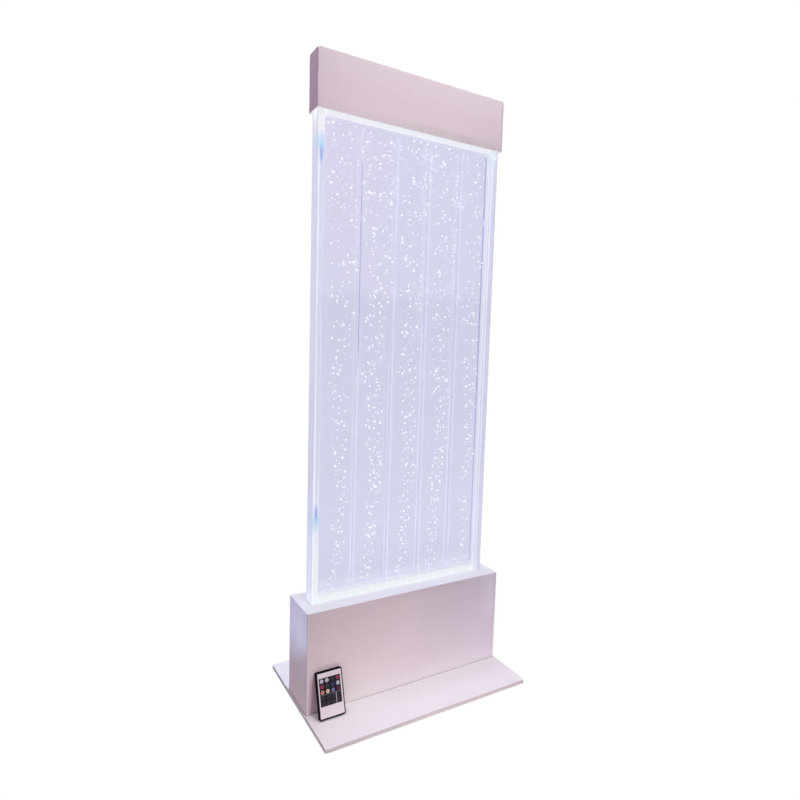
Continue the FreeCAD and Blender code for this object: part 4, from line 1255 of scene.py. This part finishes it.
@dataclass(frozen=True)
class WaterSkin(Finish):
    """Top of the water."""

    tint: Colour = (0.62, 0.70, 0.86)
    trough: Colour = (0.45, 0.47, 0.6)
    lit_crest: Colour = (0.8, 0.85, 0.95)

    def make(self, skin: Skin) -> Material:
        """Clear and glossy, with a little light in the crests.

        Args:
            skin: the material's tree.

        Returns:
            The finished material.
        """
        ripple = skin.noise(140.0)
        return skin.finish({
            "Base Color": self.tint,
            "Roughness": 0.04 + 0.06 * ripple,
            "Alpha": 0.08,
            "Emission Color": skin.mix(self.trough, self.lit_crest, ripple.span(0.45, 0.75)),
            "Emission Strength": 0.6,
            "Normal": skin.bump(ripple, 0.0002),
        })


@dataclass(frozen=True)
class PaleFloor(Finish):
    """Plain studio floor that runs out into a white sweep."""

    half: Pair
    fade: float = 0.0012
    bounce: Pair = (0.12, 0.62)
    colour: Colour = (0.95, 0.95, 0.95)

    def make(self, skin: Skin) -> Material:
        """Even tone with a faint tooth, seen as plain white a little way from the base plate.

        Args:
            skin: the material's tree.

        Returns:
            The finished material.
        """
        across, along, _ = skin.axes()
        seen = skin.value("ShaderNodeLightPath")
        white = skin.past(self.half).span(-0.002, self.fade) * seen
        distance = (across * across + along * along) ** 0.5
        dark_far = distance.span(*self.bounce) * (1.0 - seen)
        tooth = skin.noise(300.0)
        toothed = tuple(part * 0.98 for part in self.colour)
        return skin.finish({
            "Base Color": skin.layered(self.colour, (toothed, tooth), (BLACK, white + dark_far)),
            "Roughness": 0.75 + 0.1 * tooth,
            "Specular IOR Level": 0.0,
            "Emission Color": skin.light(WHITE, white),
            "Emission Strength": 1.0,
            "Normal": skin.bump(tooth, 0.00005),
        })


def placed(name: str, data: bpy.types.ID) -> Piece:
    """Put a new object into the scene.

    Args:
        name: the object's name.
        data: its mesh, light or camera.

    Returns:
        The object, at the origin.
    """
    made = bpy.data.objects.new(name, data)
    bpy.context.scene.collection.objects.link(made)
    return made


class Sprout(Tree):
    """A geometry tree with named inputs that grows a plain mesh."""

    def __init__(self, name: str) -> None:
        """Start an empty tree with one mesh output.

        Args:
            name: the tree's name.
        """
        super().__init__(bpy.data.node_groups.new(name, "GeometryNodeTree"))
        self.settings: dict[str, Any] = {}
        self.nodes.interface.new_socket("Mesh", in_out="OUTPUT", socket_type="NodeSocketGeometry")
        self.source = self.node("NodeGroupInput")

    def size(self, name: str, setting: float) -> Value:
        """Add a named number to the tree's inputs.

        Args:
            name: the input's name.
            setting: its number, whole or not.

        Returns:
            The input as a value.
        """
        kind = "NodeSocketInt" if isinstance(setting, int) else "NodeSocketFloat"
        socket = self.nodes.interface.new_socket(name, in_out="INPUT", socket_type=kind)
        self.settings[socket.identifier] = setting
        return Value(self, self.source.outputs[name])

    def chance(self, low: Any, high: Any, seed: Any, lot: Any = None) -> Value:
        """Draw a number for each point.

        Args:
            low: least number.
            high: greatest number.
            seed: fixed seed of the draw.
            lot: points with the same lot draw the same number.

        Returns:
            The drawn number.
        """
        inputs = {2: low, 3: high, 8: seed}
        if lot is not None:
            inputs[7] = lot
        return self.value("FunctionNodeRandomValue", {"data_type": "FLOAT"}, inputs, 1)

    def index(self) -> Value:
        """Give each point's number."""
        return self.value("GeometryNodeInputIndex")

    def point(self, x: Any, y: Any, z: Any) -> Socket:
        """Join three numbers to a vector."""
        return self.node("ShaderNodeCombineXYZ", None, {0: x, 1: y, 2: z}).outputs[0]

    def points(self, count: Any, place: Socket) -> Socket:
        """Set a count of points, each at its own place."""
        return self.node("GeometryNodePoints", None, {"Count": count, "Position": place}).outputs[0]

    def balls(self, points: Socket, sides: int, scale: Socket, turn: Any, lot: Value) -> Socket:
        """Set a ball on each point and keep its own lot on it.

        Args:
            points: where the balls lie.
            sides: how many sides a ball has.
            scale: its radius along each axis.
            turn: its turn in radians.
            lot: number from 0 to 1 that differs from ball to ball.

        Returns:
            The balls as instances.
        """
        ball = self.node("GeometryNodeMeshUVSphere", None, {
            "Segments": sides, "Rings": sides - 2, "Radius": 1.0})
        set_out = self.node("GeometryNodeInstanceOnPoints", None, {
            "Points": points, "Instance": ball.outputs[0], "Rotation": turn, "Scale": scale})
        return self.node("GeometryNodeStoreNamedAttribute", {"data_type": "FLOAT", "domain": "INSTANCE"}, {
            "Geometry": set_out.outputs[0], "Name": LOT, "Value": lot}).outputs[0]

    def grow(self, name: str, shape: Socket, material: Material) -> Piece:
        """Realize the shape, give it its material and keep it as a plain mesh.

        Args:
            name: the new object's name.
            shape: geometry with or without instances.
            material: finish of the whole mesh.

        Returns:
            The object, at the origin and without modifiers.
        """
        real = self.node("GeometryNodeRealizeInstances", None, {0: shape})
        smooth = self.node("GeometryNodeSetShadeSmooth", None, {0: real.outputs[0]})
        coated = self.node("GeometryNodeSetMaterial", None, {0: smooth.outputs[0], "Material": material})
        self.node("NodeGroupOutput", None, {0: coated.outputs[0]})
        host = placed(f"{name}_host", bpy.data.meshes.new(f"{name}_host"))
        modifier = host.modifiers.new(name, "NODES")
        modifier.node_group = self.nodes
        for identifier, setting in self.settings.items():
            modifier[identifier] = setting
        graph = bpy.context.evaluated_depsgraph_get()
        mesh = bpy.data.meshes.new_from_object(host.evaluated_get(graph), depsgraph=graph)
        bpy.data.objects.remove(host)
        mesh.name = name
        # The bare shapes leave an empty slot before the finish
        mesh.materials.clear()
        mesh.materials.append(material)
        return placed(name, mesh)


@dataclass
class Assembly:
    """A group of nodes of the frame with the pieces that are added to it."""

    nodes: dict[str, Piece]
    pieces: list[str] = field(default_factory=list)

    def coat(self, finish: Finish, *names: str) -> None:
        """Give nodes of the frame a finish.

        Args:
            finish: what they are made of.
            names: the nodes.
        """
        for name in names:
            self.nodes[name].data.materials[0] = finish.material()
            self.pieces.append(name)

    def add(self, piece: Piece, body: Body, slot: Slot) -> None:
        """Let a new piece ride on a body and list it among the pieces.

        Args:
            piece: the new piece.
            body: what it moves with.
            slot: the record's slot. Not used.
        """
        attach(piece, body.value)
        self.pieces.append(piece.name)


@dataclass
class Plinth(Assembly):
    """Base plate, plinth boards and rear panel."""

    screws: int = 6
    screw_rise: float = 0.0665
    screw_crown: float = 0.0021
    screw_sides: int = 28
    recess_length: float = 0.0042
    recess_width: float = 0.0009
    recess_depth: float = 0.0009
    slot_clearance: float = 0.003

    def build(self) -> None:
        """Replace the rear screws by ones with a cross recess."""
        low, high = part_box("rear_screws")
        head = (high.z - low.z) / 2 - self.screw_rise
        middle = (low.z + high.z) / 2
        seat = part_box("rear_panel")[1].y
        tree = Sprout("cross_recess_screws")
        radius = tree.size("Head radius", head)
        height = tree.size("Head height", high.y - seat)
        across = tree.size("Spread across", high.x - head)
        spacing = tree.size("Spread up", self.screw_rise)
        index = tree.index()
        column = index % 2.0
        row = (index / 2.0).floor()
        place = tree.point((column * 2.0 - 1.0) * across, seat, (row - 1.0) * spacing + middle)
        cap = tree.node("GeometryNodeMeshCone", None, {
            "Vertices": self.screw_sides, "Radius Top": self.screw_crown, "Radius Bottom": radius,
            "Depth": height})
        bars = tree.node("GeometryNodeJoinGeometry")
        long, wide, tall = self.recess_length, self.recess_width, 2 * self.recess_depth
        for size in ((long, wide, tall), (wide, long, tall)):
            bar = tree.node("GeometryNodeMeshCube", None, {"Size": size})
            lifted = tree.node("GeometryNodeTransform", None, {
                0: bar.outputs[0], "Translation": tree.point(0.0, 0.0, height)})
            tree.feed(bars.inputs[0], lifted.outputs[0])
        cut = tree.node("GeometryNodeMeshBoolean", {"operation": "DIFFERENCE"}, {
            0: cap.outputs[0], 1: bars.outputs[0]})
        outward = (-math.pi / 2, 0.0, 0.0)
        heads = tree.node("GeometryNodeInstanceOnPoints", None, {
            "Points": tree.points(self.screws, place), "Instance": cut.outputs[0], "Rotation": outward})
        made = tree.grow("rear_screw_heads", heads.outputs[0], ZINC_STEEL.material())
        self.add(made, Body.STAND, Slot.SCREW_STEEL)
        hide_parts("rear_screws")

    def dress(self) -> None:
        """Paint the boards and the plate, and finish what is under and inside them."""
        side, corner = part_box("plinth_sides")[1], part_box("base_plate")[1]
        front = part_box("plinth_front")[1]
        half = (side.x, side.y)
        paint = PlinthPaint("plinth_paint", (0.865, 0.745, 0.735), (0.795, 0.755, 0.815), 0.40, half=half,
                            joint=front.x, top=front.z)
        self.coat(paint, "plinth_front", "plinth_sides", "rear_panel")
        panel_low, panel_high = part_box("tank_front_sheet")
        slot = (panel_high.x + self.slot_clearance, self.slot_clearance - panel_low.y)
        # The deck's cooler tones are the panel's light painted into its paint.
        deck = DeckPaint("deck_paint", (0.835, 0.856, 0.873), (0.83, 0.87, 0.895), 0.40, slot=slot,
                         top=front.z)
        self.coat(deck, "plinth_deck")
        coat = PlatePaint("base_coat", (0.87, 0.85, 0.84), (0.85, 0.85, 0.86), 0.44, 0.00003,
                          half=(corner.x, corner.y), plinth=half, top=corner.z)
        self.coat(coat, "base_plate")
        self.coat(BareWood("sawn_wood"), "corner_cleats", "cradle_supports")
        self.coat(SOFT_RUBBER, "base_pads", "tank_rest_strips")
        self.coat(ZINC_STEEL, "base_screws")
        self.coat(ANODISED_ALUMINIUM, "tank_cradle")


@dataclass(frozen=True)
class Stream:
    """Bubbles of one channel: how many, their seed, how they spread, sway and drift, and how they scatter."""

    count: int
    seed: int
    foot_spread: float
    head_spread: float
    sway: float
    lead: float
    sway_waves: float = 14.0
    flutter: float = 0.003
    flutter_waves: float = 41.0
    scatter: float = 0.022
    opening: float = 1.3


@dataclass
class WaterPanel(Assembly):
    """Clear sheets, lit bars and dividers, with the bubbles between them."""

    channels: int = 5
    headroom: float = 0.006
    clump: int = 2
    smallest: float = 0.0014
    largest: float = 0.0028
    golden: float = 0.618034
    stray: float = 0.35
    size_bias: float = 1.3
    wall_berth: float = 1.3
    squash: Pair = (0.84, 1.02)
    stretch: Pair = (0.90, 1.08)
    tilt: float = 0.7
    ball_sides: int = 8
    fine_count: int = 420
    fine_radius: float = 0.0008
    fine_lot: float = 14.0
    fine_gap: Pair = (0.0035, 0.013)
    fine_reach: float = 0.30
    fine_sides: int = 6
    top_gap: float = 0.0004
    top_drop: float = 0.0016
    top_ripple: float = 0.002
    top_waves: float = 110.0
    top_points: tuple[int, int] = (180, 10)
    streams: tuple[Stream, ...] = (
        Stream(210, 11, 0.010, 0.034, 0.005, 0.007),
        Stream(300, 23, 0.011, 0.034, 0.007, 0.004),
        Stream(240, 35, 0.010, 0.034, 0.005, 0.008),
        Stream(250, 47, 0.011, 0.031, 0.007, 0.007),
        Stream(150, 59, 0.009, 0.026, 0.006, 0.008),
    )

    def inside(self) -> tuple[Vector, Vector]:
        """Give the corners of the water between the bars, the sheets, the floor and the light bar.

        Returns:
            The lower and the upper corner.
        """
        low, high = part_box("tank_bottom_bar")
        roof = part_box("light_bar_diffuser")[0].z
        return Vector((low.x, low.y, high.z)), Vector((high.x, high.y, roof))

    def pitch(self) -> float:
        """Give the distance from one channel's middle to the next."""
        first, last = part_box("air_nozzles")
        return (last.x - first.x - (last.y - first.y)) / (self.channels - 1)

    def build(self) -> None:
        """Let the bubbles rise in each channel and lay the water's top."""
        low, high = self.inside()
        pitch = self.pitch()
        nozzle_low, nozzle_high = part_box("air_nozzles")
        start = Vector((0.0, (nozzle_low.y + nozzle_high.y) / 2, nozzle_high.z))
        skin = BubbleSkin("bubble_air").material()
        for number, stream in enumerate(self.streams):
            start.x = (number - (self.channels - 1) / 2) * pitch
            made = self.rising(f"bubbles_channel_{number + 1}", stream, start, high, skin)
            self.add(made, Body.STAND, Slot.CLEAR_ACRYLIC)
        self.add(self.fine(pitch, high, skin), Body.STAND, Slot.CLEAR_ACRYLIC)
        self.add(self.surface(low, high), Body.STAND, Slot.CLEAR_ACRYLIC)

    def fine(self, pitch: float, high: Vector, skin: Material) -> Piece:
        """Make the tiny bubbles that hang beside the dividers near the top.

        Args:
            pitch: distance from one divider to the next.
            high: upper corner of the water.
            skin: their finish.

        Returns:
            The tiny bubbles as one mesh.
        """
        tree = Sprout("fine_bubbles")
        count = tree.size("Count", self.fine_count)
        radius = tree.size("Radius", self.fine_radius)
        lot = (tree.index() / self.fine_lot).floor()
        dividers = self.channels - 1
        divider = tree.chance(0.0, dividers - 0.001, 5, lot).floor() - (dividers - 1) / 2
        side = tree.chance(0.0, 1.999, 6, lot).floor() * 2.0 - 1.0
        away = tree.chance(*self.fine_gap, 7)
        fall = tree.chance(0.0, 1.0, 8, lot) ** 1.6 * self.fine_reach + tree.chance(0.0, 0.03, 9)
        depth = tree.chance(-0.8, 0.8, 10) * (high.y - self.fine_radius)
        place = tree.point(divider * pitch + side * away, depth, (high.z - self.headroom) - fall)
        scale = radius * tree.chance(0.6, 1.2, 11)
        balls = tree.balls(tree.points(count, place), self.fine_sides, tree.point(scale, scale, scale),
                           (0.0, 0.0, 0.0), tree.chance(0.0, 1.0, 12))
        return tree.grow("fine_bubbles", balls, skin)

    def rising(self, name: str, stream: Stream, start: Vector, high: Vector, skin: Material) -> Piece:
        """Make one channel's bubbles.

        Args:
            name: the new piece's name.
            stream: count and spread of the bubbles.
            start: nozzle tip that they leave.
            high: upper corner of the water.
            skin: their finish.

        Returns:
            The bubbles as one mesh.
        """
        tree = Sprout(name)
        count = tree.size("Count", stream.count)
        seed = tree.size("Seed", stream.seed)
        foot = tree.size("Foot", start.z)
        rise = tree.size("Rise", high.z - self.headroom - start.z)
        narrow = tree.size("Spread at the foot", stream.foot_spread)
        wide = tree.size("Spread at the head", stream.head_spread)
        sway = tree.size("Sway", stream.sway)
        small = tree.size("Smallest radius", self.smallest)
        large = tree.size("Largest radius", self.largest)
        lot = (tree.index() / self.clump).floor()
        share = (lot + tree.chance(0.0, 1.0, seed, lot)) * (self.clump / stream.count)
        share = (share + tree.chance(-stream.scatter, stream.scatter, seed + 1)).most(0.004).least(1.0)
        opened = share ** stream.opening
        spread = narrow + (wide - narrow) * opened
        swing = (share * stream.sway_waves + stream.seed).sine() * sway
        swing = swing + (share * stream.flutter_waves + stream.seed).sine() * stream.flutter
        swing = swing * share.span(0.0, 0.06) * (1.0 - opened * 0.5) + share.span(0.0, 0.05) * stream.lead
        lean = (lot * self.golden) % 1.0 * 2.0 - 1.0 + tree.chance(-self.stray, self.stray, seed + 3)
        across = swing + lean.most(-1.0).least(1.0) * spread + start.x
        radius = small + (large - small) * tree.chance(0.0, 1.0, seed + 4) ** self.size_bias
        radius = radius * (0.85 + 0.15 * share.span(0.0, 0.3))
        room = high.y - self.largest * self.wall_berth
        moved = share.span(0.0, 0.08)
        depth = (1.0 - moved) * start.y + moved * room * tree.chance(-1.0, 0.2, seed + 5)
        points = tree.points(count, tree.point(across, depth, foot + share * rise))
        wide_by, high_by = tree.chance(*self.squash, seed + 6), tree.chance(*self.stretch, seed + 7)
        scale = tree.point(radius * wide_by, radius, radius * high_by)
        tilt = tree.point(0.0, tree.chance(-self.tilt, self.tilt, seed + 8), 0.0)
        balls = tree.balls(points, self.ball_sides, scale, tilt, tree.chance(0.0, 1.0, seed + 9))
        return tree.grow(name, balls, skin)

    def surface(self, low: Vector, high: Vector) -> Piece:
        """Make the water's rippled top.

        Args:
            low: lower corner of the water.
            high: upper corner of the water.

        Returns:
            The rippled sheet.
        """
        tree = Sprout("water_top")
        grid = tree.node("GeometryNodeMeshGrid", None, {
            "Size X": tree.size("Length", high.x - low.x - self.top_gap),
            "Size Y": tree.size("Depth", high.y - low.y - self.top_gap),
            "Vertices X": self.top_points[0], "Vertices Y": self.top_points[1]})
        level = tree.size("Level", high.z - self.top_drop)
        ripple = tree.value("ShaderNodeTexNoise", None, {"Scale": self.top_waves, "Detail": 2.0})
        lift = tree.point(0.0, 0.0, level + (ripple - 0.5) * tree.size("Ripple", self.top_ripple))
        waved = tree.node("GeometryNodeSetPosition", None, {0: grid.outputs[0], "Offset": lift})
        return tree.grow("water_top", waved.outputs[0], WaterSkin("water").material())

    def dress(self) -> None:
        """Make the sheets clear and the bars bright."""
        low, high = self.inside()
        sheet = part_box("tank_front_sheet")[1]
        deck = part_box("plinth_deck")[1].z
        pitch = self.pitch()
        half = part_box("channel_dividers")[1].x - (self.channels - 2) / 2 * pitch
        self.coat(ClearSheet("clear_sheet", sheet.x, sheet.z, pitch), "tank_front_sheet", "tank_back_sheet")
        self.coat(LitBar("lit_bar", high.x, sheet.x, deck, sheet.z), "tank_side_bars")
        self.coat(LitFloor("lit_floor", low.z), "tank_bottom_bar")
        self.coat(Divider("divider", high.y, half, pitch), "channel_dividers")


@dataclass
class AirLine(Assembly):
    """Pump, check valve, manifold, hoses and nozzles, with the controller and the inlet."""

    def dress(self) -> None:
        """Finish the plastics and rubbers."""
        self.coat(Moulding("pump_housing", (0.10, 0.105, 0.12), 0.5, 0.00006), "air_pump", "led_controller")
        self.coat(SOFT_RUBBER, "pump_feet", "nozzle_seals")
        self.coat(Moulding("pale_plastic", (0.70, 0.74, 0.80), 0.3), "air_manifold", "check_valve")
        self.coat(Moulding("lit_plastic", (0.82, 0.87, 0.97), 0.3, glow=0.36), "air_nozzles")
        self.coat(Moulding("silicone", (0.70, 0.76, 0.80), 0.4, alpha=0.7), "air_hoses")
        self.coat(BLACK_SHELL, "power_inlet")


@dataclass
class Cap(Assembly):
    """Painted box over the panel's top, with the light bar inside."""

    def dress(self) -> None:
        """Paint the boards and light the bar."""
        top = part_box("cap_top")[1]
        paint = CapPaint("cap_paint", (0.80, 0.675, 0.70), (0.775, 0.685, 0.73), 0.40, inner=(top.x, top.y),
                         low=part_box("cap_faces")[0].z, top=top.z)
        self.coat(paint, "cap_faces", "cap_ends", "cap_top")
        self.coat(BareWood("pale_wood", (0.86, 0.80, 0.72), (0.76, 0.69, 0.60)), "cap_rests")
        self.coat(ANODISED_ALUMINIUM, "light_bar_channel")
        self.coat(MilkyLight("milky_light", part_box("light_bar_diffuser")[0].z), "light_bar_diffuser")
        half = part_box("top_led_strip")[1].x
        self.coat(LampTape("lamp_tape", half), "top_led_strip", "bottom_led_strip")


@dataclass
class Remote(Assembly):
    """Card remote that leans on the plinth. A key's tones are its own, its ring's and its centre's."""

    plum: str = "key_row3_column4"
    tones: dict[str, tuple[Colour, Colour, Colour]] = field(default_factory=lambda: {
        "white": ((0.76, 0.76, 0.80), (0.42, 0.40, 0.45), (0.30, 0.29, 0.34)),
        "black": ((0.028, 0.023, 0.032), (0.045, 0.040, 0.050), (0.030, 0.025, 0.034)),
        "red": ((0.36, 0.02, 0.05), (0.52, 0.08, 0.14), (0.11, 0.004, 0.015)),
        "green": ((0.012, 0.060, 0.035), (0.05, 0.14, 0.09), (0.004, 0.015, 0.010)),
        "blue": ((0.015, 0.022, 0.15), (0.09, 0.10, 0.30), (0.005, 0.007, 0.05)),
        "orange": ((0.62, 0.17, 0.10), (0.84, 0.56, 0.50), (0.16, 0.012, 0.008)),
        "yellow": ((0.86, 0.64, 0.34), (0.94, 0.84, 0.60), (0.30, 0.07, 0.01)),
        "sky": ((0.05, 0.09, 0.34), (0.36, 0.44, 0.68), (0.006, 0.010, 0.05)),
        "plum": ((0.10, 0.012, 0.045), (0.20, 0.05, 0.11), (0.04, 0.004, 0.02)),
    })

    def dress(self) -> None:
        """Print the face, finish what is inside and colour the keys by their slots."""
        self.coat(BLACK_SHELL, "remote_case", "battery_tray")
        self.coat(FaceCard("face_card"), "remote_face")
        self.coat(CircuitBoard("circuit"), "remote_board")
        self.coat(BrushedMetal("nickel", (0.72, 0.71, 0.69), 0.25, EVEN), "coin_cell")
        caps = {f"key_{tone}": KeyCap(f"{tone}_key", *colours) for tone, colours in self.tones.items()}
        for name, node in self.nodes.items():
            slot = "key_plum" if name == self.plum else node.data.materials[0].name
            if slot in caps:
                self.coat(caps[slot], name)


@dataclass(frozen=True)
class Lamp:
    """A square soft light: its place, the point it faces, its side, power in watts and beam in degrees."""

    name: str
    place: Point
    aim: Point
    side: float
    power: float
    colour: Colour
    beam: float = WIDE_BEAM

    def hang(self) -> None:
        """Put it into the scene. One with a narrow beam doesn't show in gloss."""
        light = bpy.data.lights.new(self.name, "AREA")
        light.size = self.side
        light.energy = self.power
        light.color = self.colour
        light.spread = math.radians(self.beam)
        made = placed(self.name, light)
        made.visible_glossy = self.beam == WIDE_BEAM
        made.location = self.place
        made.rotation_euler = (Vector(self.aim) - Vector(self.place)).to_track_quat("-Z", "Y").to_euler()


@dataclass
class Studio:
    """Floor, soft lights and camera."""

    focal_pixels: float = 569.64
    image_pixels: float = 800.0
    sensor: float = 36.0
    clip_start: float = 0.02
    eye: Point = (-0.58989, -0.99071, 0.70286)
    heading: float = 30.273
    dip: float = 5.573
    roll: float = 1.673
    floor_half: float = 9.0
    floor_sides: int = 96
    ambient: Colour = (0.95, 0.72, 1.0)
    ambient_strength: float = 0.316
    lamps: tuple[Lamp, ...] = (
        Lamp("key_light", (1.5, -3.0, 2.2), (0.0, 0.0, 0.6), 2.4, 43.0, (1.0, 0.95, 0.97)),
        Lamp("high_light", (1.0, -2.6, 1.9), (0.0, 0.0, 1.22), 0.7, 0.74, (1.0, 0.95, 0.96), 26.0),
        Lamp("top_light", (0.0, 0.0, 4.2), (0.0, 0.0, 0.0), 5.0, 100.0, (0.97, 0.98, 1.0)),
        Lamp("foot_light", (0.25, -1.6, 1.5), (0.01, -0.36, 0.0), 0.25, 0.40, (1.0, 0.97, 0.98), 28.0),
        Lamp("left_light", (-1.0, 0.25, 0.10), (-0.22, 0.0, 0.25), 0.2, 0.135, (0.58, 0.70, 1.0), 18.0),
        Lamp("side_light", (-2.2, 0.6, 1.5), (-0.2, 0.0, 1.10), 0.8, 0.84, (1.0, 0.82, 1.0), 50.0),
        Lamp("rear_light", (0.8, 3.2, 2.0), (0.0, 0.0, 0.6), 2.4, 20.0, (0.97, 0.96, 1.0)),
    )

    def floor(self) -> None:
        """Lay a pale round floor."""
        disc = bmesh.new()
        bmesh.ops.create_circle(disc, cap_ends=True, segments=self.floor_sides, radius=self.floor_half)
        mesh = bpy.data.meshes.new("studio_floor")
        disc.to_mesh(mesh)
        disc.free()
        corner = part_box("base_plate")[1]
        mesh.materials.append(PaleFloor("pale_floor", (corner.x, corner.y)).material())
        placed("studio_floor", mesh)

    def surroundings(self) -> None:
        """Show white behind the object and light it with a dimmer tone."""
        world = bpy.data.worlds.new("studio")
        world.use_nodes = True
        world.node_tree.nodes.clear()
        tree = Tree(world.node_tree)
        seen = tree.node("ShaderNodeBackground", None, {"Color": (*WHITE, 1.0), "Strength": 1.0})
        soft = tree.node("ShaderNodeBackground", None, {
            "Color": (*self.ambient, 1.0), "Strength": self.ambient_strength})
        path = tree.node("ShaderNodeLightPath")
        both = tree.node("ShaderNodeMixShader", None, {
            0: path.outputs["Is Camera Ray"], 1: soft.outputs[0], 2: seen.outputs[0]})
        tree.node("ShaderNodeOutputWorld", None, {0: both.outputs[0]})
        bpy.context.scene.world = world

    def camera(self) -> None:
        """Stand the camera where the photograph was taken."""
        data = bpy.data.cameras.new("camera")
        data.sensor_width = self.sensor
        data.lens = self.focal_pixels * self.sensor / self.image_pixels
        data.clip_start = self.clip_start
        made = placed("camera", data)
        heading = Matrix.Rotation(math.radians(-self.heading), 4, "Z")
        pitch = Matrix.Rotation(math.radians(90.0 - self.dip), 4, "X")
        roll = Matrix.Rotation(math.radians(self.roll), 4, "Z")
        made.matrix_world = Matrix.Translation(self.eye) @ heading @ pitch @ roll
        bpy.context.scene.camera = made

    def build(self) -> None:
        """Set up the whole studio."""
        bpy.context.scene.view_settings.view_transform = "Standard"
        self.floor()
        self.surroundings()
        for lamp in self.lamps:
            lamp.hang()
        self.camera()


def main() -> None:
    """Dress the frame piece by piece, then set up the studio."""
    logging.basicConfig(level=logging.INFO, format="%(message)s")
    for stray in list(bpy.data.objects):
        bpy.data.objects.remove(stray)
    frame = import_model()
    nodes = frame["nodes"]
    plinth, panel = Plinth(nodes), WaterPanel(nodes)
    for assembly in (plinth, panel):
        assembly.build()
    for assembly in (plinth, panel, AirLine(nodes), Cap(nodes), Remote(nodes)):
        assembly.dress()
        for piece in assembly.pieces:
            LOG.info("%s: %s", type(assembly).__name__, piece)
    Studio().build()


if __name__ == "__main__":
    main()
